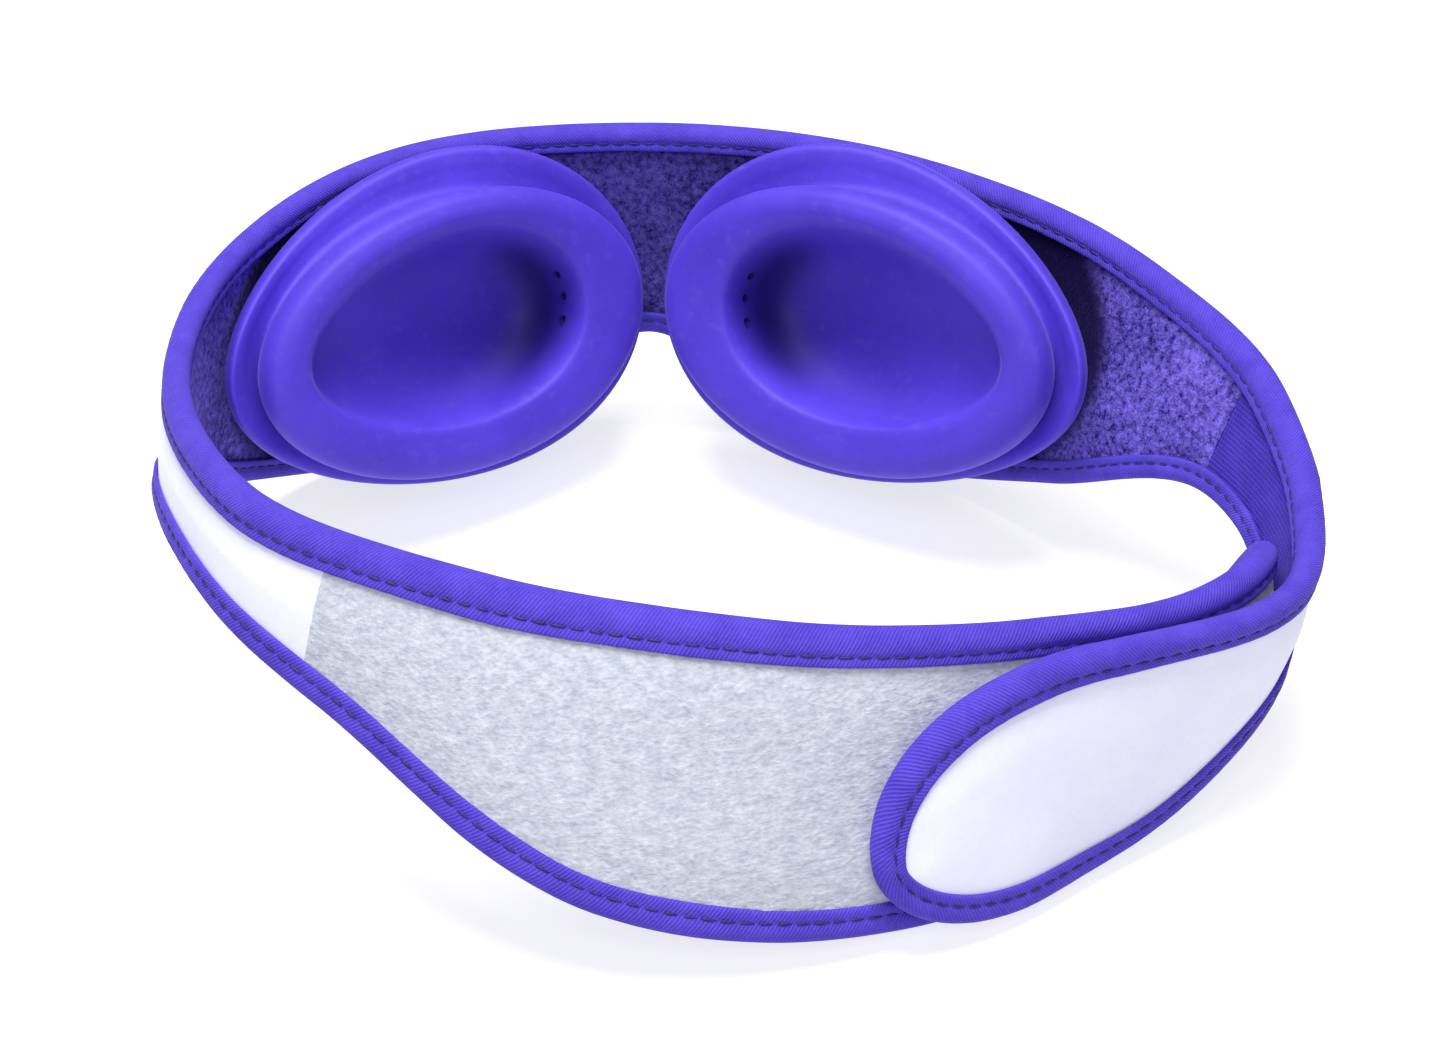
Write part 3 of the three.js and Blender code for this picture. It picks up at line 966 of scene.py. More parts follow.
@dataclass(frozen=True)
class Hold:
    """What carries a piece: one body, or a bend between two."""

    body: str = ""
    bend: Optional[Bend] = None

    def carry(self, piece: bpy.types.Object) -> None:
        """Fix the piece to its body; a piece held by a bend only has its place baked into its mesh.

        Args:
            piece: The finished piece.
        """
        if self.bend is None:
            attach(piece, self.body)
            return
        places = [PATH.point(at, PATH.lean_height, 0.0) for at in (self.bend.start, self.bend.stop)]
        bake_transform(piece)


FRONT = Hold("front")
RIGHT_TEMPLE = Hold(bend=Bend("front", "right_strap", 123, 138))
TAB = Hold(bend=Bend("right_strap", "tab", 170, 183))
LEFT_TEMPLE = Hold(bend=Bend("front", "left_strap", -123, -138))
LEFT_STRAP = Hold("left_strap")


@dataclass(frozen=True)
class Span:
    """One panel layer of the band between two stations."""

    name: str
    start: float
    stop: float
    cloth: Cloth
    hold: Hold
    replaces: tuple[str, ...]
    outside: bool
    crown: float
    fuzz: float = 0.0
    seams: tuple[float, ...] = ()


@dataclass
class PaddedPanels:
    """Face and lining of the band: soft panels that puff up between the tapes."""

    path: BandPath
    inset: float = 1.4
    skin: float = 1.3
    core: float = 0.25
    step: float = 1.25
    rows: int = 44
    puff_start: float = 1.6
    puff_stop: float = 12.0
    # Cup places and reach, used only for the painted shade under and round the cups.
    cup_seats: tuple = ((56, 33), (-53, 31))
    cup_reach: tuple = (44.5, 31.0)
    pressed: float = 0.15
    pressed_dip: float = 0.2
    pressed_nap: float = 0.4
    right_free: tuple = (84, 106)
    left_free: tuple = (122, 140)
    row_ease: float = 0.55
    seam_dip: float = 0.45
    seam_reach: float = 1.1
    waves: tuple = ((0.10, 17, 0), (0.05, 6, 50))
    nap_edge: tuple = (2.5, 4.5)
    # Where the painted shade round the cups fades, and the painted shade between the cups at the
    # nose.
    shadow_edge: tuple = (0.93, 1.05)
    nose_shade_reach: tuple = (30, 60)
    nose_painted_light: float = 0.5

    def spans(self) -> list[Span]:
        """The panels, outside first."""
        tab, inner = self.path.ends()
        last = self.inset + 0.3
        tab_end, inner_end = tab.tip - last, inner.tip + last
        face, lining = True, False
        return [
            Span("front_face_panel", -FACE_SEAM, FACE_SEAM, Cloth.FACE, FRONT,
                 ("front_face", "front_foam"), face, 0.9),
            Span("right_temple_face_panel", FACE_SEAM, TAB_SEAM, Cloth.FACE, RIGHT_TEMPLE,
                 ("right_strap_face", "right_strap_foam"), face, 0.9),
            Span("tab_face_panel", TAB_SEAM, tab_end, Cloth.FACE, TAB,
                 ("tab_face", "tab_foam"), face, 1.0),
            Span("left_temple_face_panel", -PILE_SEAM, -FACE_SEAM, Cloth.FACE, LEFT_TEMPLE,
                 ("left_strap_face", "left_strap_foam"), face, 0.9, 0.0, (-PILE_SEAM,)),
            Span("left_strap_loop_pile", inner_end, -PILE_SEAM, Cloth.PILE, LEFT_STRAP,
                 ("left_strap_loop_panel",), face, 1.05, 0.07, (-PILE_SEAM,)),
            Span("front_fleece", -FACE_SEAM, FACE_SEAM, Cloth.FLEECE, FRONT,
                 ("front_lining",), lining, 0.6, 0.08),
            Span("right_temple_fleece", FACE_SEAM, LINING_SEAM, Cloth.FLEECE, RIGHT_TEMPLE,
                 (), lining, 0.6, 0.08, (LINING_SEAM,)),
            Span("left_temple_fleece", -LINING_SEAM, -FACE_SEAM, Cloth.FLEECE, LEFT_TEMPLE,
                 (), lining, 0.6, 0.08, (-LINING_SEAM,)),
            Span("right_strap_knit", LINING_SEAM, TAB_SEAM, Cloth.KNIT, RIGHT_TEMPLE,
                 ("right_strap_lining",), lining, 0.3, 0.0, (LINING_SEAM,)),
            Span("tab_knit", TAB_SEAM, tab_end, Cloth.KNIT, TAB, ("tab_lining",), lining, 0.3),
            Span("left_strap_knit", inner_end, -LINING_SEAM, Cloth.KNIT, LEFT_TEMPLE,
                 ("left_strap_lining",), lining, 0.3, 0.0, (-LINING_SEAM,)),
        ]

    def build(self, span: Span, seed: int) -> bpy.types.Object:
        """Make one panel layer.

        Args:
            span: Which panel.
            seed: Number that picks its ripples.

        Returns:
            The panel.
        """
        count = max(8, round((span.stop - span.start) / self.step))
        along = np.linspace(span.start, span.stop, count + 1)[:, None]
        bottom = self.path.edge_height(along, False, self.inset)
        top = self.path.edge_height(along, True, self.inset)
        share = (1 - np.cos(np.linspace(0, math.pi, self.rows))) / 2
        share = self.row_ease * share + (1 - self.row_ease) * np.linspace(0, 1, self.rows)
        height = bottom + (top - bottom) * share[None, :]
        near_edge = np.minimum(height - bottom, top - height) + self.inset
        ends = [np.abs(end.tip - along) for end in self.path.ends()]
        near_edge = np.minimum(near_edge, np.minimum(*ends))
        puff = smoothstep(near_edge, self.puff_start, self.puff_stop)
        for seam in span.seams:
            puff = puff * (1 - self.seam_dip * np.exp(-(((along - seam) / self.seam_reach) ** 2)))
        waves = sum(
            deep * ripple(along, height, size, seed + shift) for deep, size, shift in self.waves
        )
        nap = np.random.default_rng(seed).normal(0, span.fuzz, height.shape)
        edge_nap = smoothstep(near_edge, *self.nap_edge)
        free = 1.0
        if not span.outside:
            free = np.maximum(
                smoothstep(along, *self.right_free), smoothstep(-along, *self.left_free)
            )
        share = self.pressed + (1 - self.pressed) * free
        depth = self.skin - self.pressed_dip * (1 - free)
        depth = depth + share * (span.crown * puff + waves * puff)
        depth = depth + nap * edge_nap * (self.pressed_nap + (1 - self.pressed_nap) * free)
        side = 1 if span.outside else -1
        skin = self.path.point(along, height, side * depth)
        back = self.path.point(along, height, side * self.core)
        rings = np.concatenate([skin, back[:, ::-1]], 1)
        uv = there_and_back(np.stack(np.broadcast_arrays(along * MM, height * MM), -1))
        # Painted light level of each point, for the painted shade round the cups and at the nose.
        painted_light = there_and_back(self.painted_light(along, height))
        return closed_strip(span.name, rings, uv, span.cloth.material(), painted_light)

    def painted_light(self, along: np.ndarray, height: np.ndarray) -> np.ndarray:
        """Painted light level of each spot: painted shade under the cups, round their flanges and
        between them at the nose.

        Args:
            along: Stations in millimetres.
            height: Heights in millimetres.

        Returns:
            0 for full painted shade under a cup, to 1 away from both.
        """
        result = np.ones(np.broadcast(along, height).shape)
        for station, middle in self.cup_seats:
            away = np.hypot(
                (along - station) / self.cup_reach[0], (height - middle) / self.cup_reach[1]
            )
            result = np.minimum(result, smoothstep(away, *self.shadow_edge))
        # Painted shade between the cups at the nose, at half strength where darkest.
        free = smoothstep(np.abs(along), *self.nose_shade_reach)
        return result * (self.nose_painted_light + (1 - self.nose_painted_light) * free)

    def dress(self) -> list[bpy.types.Object]:
        """Make every panel and pass it to its hold, which fixes it to its body or bakes its place.

        Returns:
            The panels.
        """
        made = []
        for seed, span in enumerate(self.spans(), 11):
            piece = self.build(span, seed)
            if span.replaces:
                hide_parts(*span.replaces)
            span.hold.carry(piece)
            made.append(piece)
        return made


@dataclass(frozen=True)
class TapeRun:
    """One run of folded tape between two stations, or round an end and back."""

    name: str
    start: float
    stop: float
    hold: Hold
    replaces: tuple[str, ...]
    upper: Optional[bool] = None
    end: Optional[RoundEnd] = None


@dataclass
class FoldedTape:
    """Twill tape folded over the band's edges, with its rows of lockstitch."""

    path: BandPath
    width: float = 4.6
    outside: float = 2.3
    inside: float = 1.62
    nose: float = 2.1
    stitch_line: float = 3.15
    stitch_rise: float = 0.1
    groove: float = 0.3
    groove_width: float = 0.42
    pull: float = 0.3
    swell: tuple = (0.1, 1.7, 0.9)
    lip_wave: float = 0.07
    wave: tuple = (0.05, 11)
    wander: tuple = (0.16, 23)
    wander_from: tuple = (2.5, 4.6)
    pitch: float = 2.9
    stitch_length: float = 2.35
    thread: float = 0.24
    step: float = 0.95
    row_names: tuple = ("front", "right_temple", "tab", "left_strap")

    def runs(self) -> list[TapeRun]:
        """The tape's runs."""
        tab, inner = self.path.ends()
        made = []
        for label, start, stop, hold, node in (
            ("front", -FACE_SEAM, FACE_SEAM, FRONT, "front"),
            ("right", FACE_SEAM, TAB_SEAM, RIGHT_TEMPLE, "right_strap"),
        ):
            for level, upper in (("upper", True), ("lower", False)):
                covers = (f"{node}_{level}_binding",)
                made.append(TapeRun(f"{label}_{level}_tape", start, stop, hold, covers, upper))
        for node, start, end, hold in (
            ("tab", TAB_SEAM, tab, TAB), ("left_strap", -FACE_SEAM, inner, LEFT_TEMPLE),
        ):
            made.append(
                TapeRun(f"{node}_tape", start, end.tip, hold, (f"{node}_binding",), None, end)
            )
        return made

    def _straight(self, start: float, stop: float, upper: bool) -> np.ndarray:
        """Rows of station, height and inward direction along one edge."""
        count = max(2, round(abs(stop - start) / self.step))
        along = np.linspace(start, stop, count + 1)
        height = self.path.edge_height(along, upper, 0.0)
        slope = (
            self.path.edge(along + 0.5, upper) - self.path.edge(along - 0.5, upper)
        ) * (1 - self._near_end(along, upper))
        side = -1 if upper else 1
        into = np.stack([-slope * side, np.full_like(along, side)], 1)
        into /= np.linalg.norm(into, axis=1)[:, None]
        return np.column_stack([along, height, into])

    def _near_end(self, along: np.ndarray, upper: bool) -> np.ndarray:
        """1 where an edge meets a rounded end, and 0 away from it."""
        total = np.zeros_like(along)
        for end in self.path.ends():
            start = end.tip - end.way * (end.top_reach if upper else end.bottom_reach)
            total = np.maximum(total, 1 - smoothstep(np.abs(along - start), 0, 12))
        return total

    def _round(self, end: RoundEnd) -> np.ndarray:
        """Rows of station, height and inward direction round an end, from above to below."""
        parts = []
        for upper in (True, False):
            reach = end.top_reach if upper else end.bottom_reach
            start = end.tip - end.way * reach
            rise = float(self.path.edge(np.array(start), upper)) - end.height
            count = round(1.2 * (reach + abs(rise)) / self.step / 1.5)
            angle = np.linspace(0, math.pi / 2, count + 1)
            into = np.stack([-end.way * np.sin(angle) / reach, -np.cos(angle) / rise], 1)
            into /= np.linalg.norm(into, axis=1)[:, None]
            row = np.column_stack([
                start + end.way * reach * np.sin(angle), end.height + rise * np.cos(angle), into,
            ])
            parts.append(row if upper else row[::-1][1:])
        return np.vstack(parts)

    def route(self, run: TapeRun) -> np.ndarray:
        """Rows of station, height and inward direction of a whole run."""
        if run.end is None:
            return self._straight(run.start, run.stop, bool(run.upper))
        end = run.end
        out = self._straight(run.start, end.tip - end.way * end.top_reach, True)
        back = self._straight(end.tip - end.way * end.bottom_reach, run.start, False)
        return np.vstack([out[:-1], self._round(end), back[1:]])

    def section(self) -> tuple[np.ndarray, np.ndarray]:
        """Outer and inner contour of the fold, as rows of depth and distance in from the edge."""
        flat = np.array([4.6, 4.52, 4.36, 4.0, 3.6, 3.38, 3.15, 2.92, 2.6, 2.2]) * self.width / 4.6
        turn = np.linspace(0, math.pi, 9)[1:-1]
        lip = 0.34 * (1 - np.sqrt(1 - np.clip((flat - self.width + 0.42) / 0.42, 0, 1) ** 2))
        outer_side = np.column_stack([-(self.outside - lip), flat])
        inner_side = np.column_stack([np.full_like(flat, -self.inside), flat])
        outer_nose = np.column_stack([-self.outside * np.cos(turn), self.nose * (1 - np.sin(turn))])
        inner_nose = np.column_stack(
            [-self.inside * np.cos(turn), self.nose - (self.nose - 0.65) * np.sin(turn)]
        )
        across = np.array([-1, 1])
        outer = np.vstack([outer_side, outer_nose, outer_side[::-1] * across])
        inner = np.vstack([inner_side, inner_nose, inner_side[::-1] * across])
        return outer, inner

    def travel(self, route: np.ndarray) -> np.ndarray:
        """Distance along a route's stitch line, in millimetres."""
        along, height = (route[:, :2] + route[:, 2:] * self.stitch_line).T
        line = self.path.point(along, height, 0.0)
        return distances(line) / MM

    def build(self, run: TapeRun, seed: int) -> bpy.types.Object:
        """Make one run of tape, drawn in at every stitch.

        Args:
            run: Which run.
            seed: Number that picks its small waves.

        Returns:
            The tape.
        """
        route = self.route(run)
        outer, inner = self.section()
        ring = np.vstack([outer, inner[::-1]])
        depth, inward = ring[None, :, 0], ring[None, :, 1]
        travel = self.travel(route)[:, None]
        pulled = 1 - self.pull + self.pull * np.cos(travel * TURN / self.pitch)
        groove = np.exp(-(((inward - self.stitch_line) / self.groove_width) ** 2)) * pulled
        rise, middle, spread = self.swell
        swell = rise * np.exp(-(((inward - middle) / spread) ** 2)) * (1.6 - pulled)
        lip_wave = self.lip_wave * (1 - pulled) * smoothstep(inward, self.width - 1, self.width)
        wave = self.wave[0] * ripple(travel, inward * 3, self.wave[1], seed)
        outside = np.zeros(ring.shape[0])
        outside[: len(outer)] = 1
        rise = swell - self.groove * groove + lip_wave + wave
        depth = depth + np.sign(depth) * rise * outside[None, :]
        wander = self.wander[0] * ripple(travel, 0 * inward, self.wander[1], seed + 7)
        reach = inward + wander * smoothstep(inward, *self.wander_from)
        along = route[:, :1] + route[:, 2:3] * reach
        height = route[:, 1:2] + route[:, 3:4] * reach
        rings = self.path.point(along, height, depth)
        around = distances(ring)
        uv = np.stack(np.broadcast_arrays(travel * MM, around[None, :] * MM), -1)
        return closed_strip(run.name, rings, uv, Cloth.TAPE.material())

    def stitch_rows(self, run: TapeRun) -> list[np.ndarray]:
        """Lines that the stitches follow, one on each side of the tape."""
        route = self.route(run)
        along, height = (route[:, :2] + route[:, 2:] * self.stitch_line).T
        rise = self.outside - self.groove + self.stitch_rise
        return [self.path.point(along, height, side * rise) for side in (1, -1)]

    def dress(self) -> list[bpy.types.Object]:
        """Make every run of tape and its stitches, and pass each to its hold, which fixes it to its
        body or bakes its place.

        Returns:
            The tapes and their stitches.
        """
        made, rows = [], {}
        for seed, run in enumerate(self.runs(), 31):
            piece = self.build(run, seed)
            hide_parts(*run.replaces)
            run.hold.carry(piece)
            made.append(piece)
            rows.setdefault(run.hold, []).extend(self.stitch_rows(run))
        names = dict(zip((FRONT, RIGHT_TEMPLE, TAB, LEFT_TEMPLE), self.row_names))
        for hold, lines in rows.items():
            name = f"{names[hold]}_stitches"
            piece = StitchRows().sew(name, lines, self.pitch, self.stitch_length, self.thread)
            hold.carry(piece)
            made.append(piece)
        return made


# --- Repeated details --------------------------------------------------------------


class NodeRecipe:
    """A Geometry Nodes tree with named inputs, run once and turned into a plain mesh."""

    title = "recipe"
    sizes: tuple[tuple[str, str], ...] = ()

    def tree(self) -> bpy.types.NodeTree:
        """Build the tree, or return it if it is there.

        Returns:
            The node tree.
        """
        made = bpy.data.node_groups.get(self.title)
        if made:
            return made
        made = bpy.data.node_groups.new(self.title, "GeometryNodeTree")
        made.interface.new_socket("Geometry", in_out="INPUT", socket_type="NodeSocketGeometry")
        for name, kind in (*self.sizes, ("Material", "NodeSocketMaterial")):
            made.interface.new_socket(name, in_out="INPUT", socket_type=kind)
        made.interface.new_socket("Geometry", in_out="OUTPUT", socket_type="NodeSocketGeometry")
        graph = Graph(made)
        source = graph.node("NodeGroupInput").socket.node
        given = {socket.name: Channel(graph, socket) for socket in source.outputs if socket.name}
        built = self.fill(graph, given)
        real = graph.node("GeometryNodeRealizeInstances", None, {0: built})
        dressed = graph.node(
            "GeometryNodeSetMaterial", None, {0: real, "Material": given["Material"]}
        )
        graph.node("NodeGroupOutput", None, {0: dressed})
        return made

    def fill(self, graph: Graph, given: dict[str, Channel]) -> Channel:
        """Build the part of the tree that makes the instances.

        Args:
            graph: The tree.
            given: The tree's inputs by name.

        Returns:
            The instances.
        """
        raise NotImplementedError

    def run(
        self, piece: bpy.types.Object, values: dict[str, Any], material: bpy.types.Material
    ) -> None:
        """Run the tree on a piece and keep its result as the piece's mesh.

        Args:
            piece: Object whose mesh the tree starts from.
            values: Sizes by input name.
            material: Material of the result.
        """
        tree = self.tree()
        modifier = piece.modifiers.new(self.title, "NODES")
        modifier.node_group = tree
        sockets = [item for item in tree.interface.items_tree if item.in_out == "INPUT"]
        keys = {item.name: item.identifier for item in sockets}
        for name, value in {**values, "Material": material}.items():
            modifier[keys[name]] = value
        keep_result(piece)
        piece.data.name = piece.name
        piece.data.shade_smooth()


class StitchRows(NodeRecipe):
    """Lockstitches laid along lines."""

    title = "stitch_rows"
    shortest = 0.88
    longest = 1.08
    seed = 4
    sizes = (
        ("Pitch", "NodeSocketFloat"), ("Stitch Length", "NodeSocketFloat"),
        ("Thread Radius", "NodeSocketFloat"), ("Seed", "NodeSocketInt"),
    )

    def fill(self, graph: Graph, given: dict[str, Channel]) -> Channel:
        """Place one plump stitch at each pitch, turned along the line.

        Args:
            graph: The tree.
            given: The tree's inputs by name.

        Returns:
            The stitches.
        """
        line = graph.node("GeometryNodeMeshToCurve", None, {0: given["Geometry"]})
        spaced = graph.node("GeometryNodeResampleCurve", {"mode": "LENGTH"}, {
            "Curve": line, "Length": given["Pitch"],
        })
        ball = graph.node("GeometryNodeMeshUVSphere", None, {
            "Segments": 7, "Rings": 6, "Radius": 1.0,
        })
        half = given["Stitch Length"] * 0.5
        size = graph.node("ShaderNodeCombineXYZ", None, {
            0: given["Thread Radius"], 1: given["Thread Radius"], 2: half,
        })
        stitch = graph.node("GeometryNodeTransform", None, {
            "Geometry": ball, "Rotation": (0.0, math.pi / 2, 0.0), "Scale": size,
        })
        tangent = graph.node("GeometryNodeInputTangent")
        turned = graph.node("FunctionNodeAlignRotationToVector", {"axis": "X"}, {"Vector": tangent})
        sway = graph.random(self.shortest, self.longest, given["Seed"])
        return graph.node("GeometryNodeInstanceOnPoints", None, {
            "Points": spaced, "Instance": stitch, "Rotation": turned, "Scale": sway,
        })

    def sew(
        self, name: str, lines: Sequence[np.ndarray], pitch: float, length: float, radius: float
    ) -> bpy.types.Object:
        """Sew rows of stitches.

        Args:
            name: Name of the piece.
            lines: Points of each row in metres.
            pitch: Distance from stitch to stitch in millimetres.
            length: Length of one stitch.
            radius: Radius of the thread.

        Returns:
            The stitches.
        """
        points, joins = np.vstack(lines), []
        start = 0
        for line in lines:
            joins += [(start + step, start + step + 1) for step in range(len(line) - 1)]
            start += len(line)
        piece = linked(name, plain_mesh(name, points, joins, []))
        values = {
            "Pitch": pitch * MM, "Stitch Length": length * MM,
            "Thread Radius": radius * MM, "Seed": self.seed,
        }
        self.run(piece, values, Cloth.THREAD.material())
        return piece


class HookField(NodeRecipe):
    """Small nylon hooks that stand on a patch."""

    title = "hook_field"
    sizes = (
        ("Hook Height", "NodeSocketFloat"), ("Hook Radius", "NodeSocketFloat"),
        ("Seed", "NodeSocketInt"),
    )
    height = 0.32
    radius = 0.09
    spin = 0.5
    seed = 9

    def fill(self, graph: Graph, given: dict[str, Channel]) -> Channel:
        """Stand a bent stem on every point of the patch, turned at random about the upright.

        Args:
            graph: The tree.
            given: The tree's inputs by name.

        Returns:
            The hooks.
        """
        top = graph.node(
            "ShaderNodeCombineXYZ", None, {0: 0.0, 1: 0.0, 2: given["Hook Height"] * 1.5}
        )
        bend = graph.node("ShaderNodeCombineXYZ", None, {
            0: given["Hook Height"] * 0.7, 1: 0.0, 2: given["Hook Height"] * 0.55,
        })
        stem = graph.node("GeometryNodeCurveQuadraticBezier", None, {
            "Resolution": 4, "Start": (0.0, 0.0, 0.0), "Middle": top, "End": bend,
        })
        wire = graph.node("GeometryNodeCurvePrimitiveCircle", None, {
            "Resolution": 4, "Radius": given["Hook Radius"],
        })
        hook = graph.node("GeometryNodeCurveToMesh", None, {
            "Curve": stem, "Profile Curve": wire, "Fill Caps": True,
        })
        normal = graph.node("GeometryNodeInputNormal")
        upright = graph.node("FunctionNodeAlignRotationToVector", {"axis": "Z"}, {"Vector": normal})
        spin = graph.random(-self.spin, self.spin, given["Seed"])
        lean = graph.node("ShaderNodeCombineXYZ", None, {0: 0.0, 1: 0.0, 2: spin})
        turn = graph.node("FunctionNodeEulerToRotation", None, {0: lean})
        rotation = graph.node(
            "FunctionNodeRotateRotation", {"rotation_space": "LOCAL"}, {0: upright, 1: turn}
        )
        return graph.node("GeometryNodeInstanceOnPoints", None, {
            "Points": given["Geometry"], "Instance": hook, "Rotation": rotation,
        })

    def plant(
        self, name: str, points: np.ndarray, faces: Sequence[Sequence[int]]
    ) -> bpy.types.Object:
        """Plant hooks on the points of an open patch.

        Args:
            name: Name of the piece.
            points: Points of the patch in metres.
            faces: Its faces, which face the way the hooks stand.

        Returns:
            The hooks.
        """
        piece = linked(name, plain_mesh(name, points, [], faces))
        values = {
            "Hook Height": self.height * MM, "Hook Radius": self.radius * MM, "Seed": self.seed,
        }
        self.run(piece, values, Cloth.HOOKS.material())
        return piece


def grid_faces(rows: int, columns: int) -> list[list[int]]:
    """Faces of a grid of points.

    Args:
        rows: Number of rows.
        columns: Points in a row.

    Returns:
        The faces.
    """
    starts = [row * columns + col for row in range(rows - 1) for col in range(columns - 1)]
    return [[at, at + 1, at + columns + 1, at + columns] for at in starts]


@dataclass
class TabHooks:
    """Hook patch sewn inside the tab."""

    path: BandPath
    root: float = 189.0
    margin: float = 6.1
    inner: float = 1.7
    thickness: float = 1.2
    crown: float = 0.25
    crown_reach: float = 1.2
    grid: tuple = (44, 22)
    hook_grid: tuple = (36, 20)
    hook_inset: tuple = (1.5, 1.2)
    hook_sink: float = 0.04

    def dress(self) -> list[bpy.types.Object]:
        """Make the patch and its hooks.

        Returns:
            The patch and the hooks.
        """
        tab = self.path.ends()[0]
        last = tab.tip - self.margin - 0.3
        along = np.linspace(self.root, last, self.grid[0])[:, None]
        share = np.linspace(0, 1, self.grid[1])[None, :]
        bottom = self.path.edge_height(along, False, self.margin)
        top = self.path.edge_height(along, True, self.margin)
        height = bottom + (top - bottom) * share
        near = np.minimum(np.minimum(height - bottom, top - height), along - self.root)
        crown = self.crown * (np.sqrt(np.clip(near / self.crown_reach, 0, 1)) - 1)
        back = -(self.inner + self.thickness + crown)
        skin = self.path.point(along, height, back)
        ground = self.path.point(along, height, -self.inner)
        rings = np.concatenate([skin, ground[:, ::-1]], 1)
        uv = there_and_back(np.stack(np.broadcast_arrays(along * MM, height * MM), -1))
        patch = closed_strip("tab_hook_tape", rings, uv, Cloth.HOOKS.material())
        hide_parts("tab_hook_patch")
        rows, columns = self.hook_grid
        first, last = self.root + self.hook_inset[0], last - self.hook_inset[0]
        along = np.linspace(first, last, rows)[:, None]
        bottom = self.path.edge_height(along, False, self.margin + self.hook_inset[1])
        top = self.path.edge_height(along, True, self.margin + self.hook_inset[1])
        height = bottom + (top - bottom) * np.linspace(0, 1, columns)[None, :]
        depth = -(self.inner + self.thickness - self.hook_sink)
        spots = self.path.point(along, height, depth).reshape(-1, 3)
        middle = (first + last) / 2
        inward = self.path.point(middle, 20.0, -30.0) - self.path.point(middle, 20.0, 0.0)
        faces = Seat.facing(spots, grid_faces(rows, columns), inward)
        hooks = HookField().plant("tab_hooks", spots, faces)
        for piece in (patch, hooks):
            TAB.carry(piece)
        return [patch, hooks]


# --- Eye cups ----------------------------------------------------------------------


@dataclass(frozen=True)
class Seat:
    """Where a cup sits inside the band, and which way it faces."""

    side: int
    station: float
    height: float
    tilt: float = 18.0
    stand_off: float = 10.0

    def outward(self) -> np.ndarray:
        """Outward direction of the band at the seat."""
        return np.append(PATH.plan(np.array(self.station))[1], 0.0)

    def axes(self, tilt: float) -> np.ndarray:
        """Rows: out along the band, up, and toward the wearer."""
        outward = self.outward()
        along = np.array([outward[1], -outward[0], 0.0]) * self.side
        angle = math.radians(tilt)
        toward = -outward * math.cos(angle) + np.array([0, 0, math.sin(angle)])
        return np.array([along, np.cross(toward, along) * self.side, toward])

    def base(self) -> np.ndarray:
        """Middle of the cup's flange, in metres."""
        return PATH.point(self.station, self.height, 0.0) - self.outward() * self.stand_off * MM

    def place(self, local: np.ndarray) -> np.ndarray:
        """Put cup points, in millimetres, in the frame, in metres."""
        return self.base() + local @ self.axes(self.tilt) * MM

    def lean(self) -> float:
        """Lean of the band at the seat, in degrees."""
        return math.degrees(float(PATH.lean(np.array(self.station))))

    @staticmethod
    def facing(points: np.ndarray, faces: list[list[int]], way: np.ndarray) -> list[list[int]]:
        """Turn all faces over if the first one looks away from the given direction."""
        a, b, c = (points[index] for index in faces[0][:3])
        if np.dot(np.cross(b - a, c - a), way) < 0:
            return [face[::-1] for face in faces]
        return faces


@dataclass(frozen=True)
class EggRing:
    """One egg-shaped ring of the cup, small end out, in millimetres."""

    height: float
    long: float
    tall: float
    taper: float = 0.0
    curl: float = 0.0
    out: float = 0.0
    up: float = 0.0
    slope: float = 0.0

    def row(self) -> list[float]:
        """The ring's sizes in a fixed order."""
        return list(astuple(self))


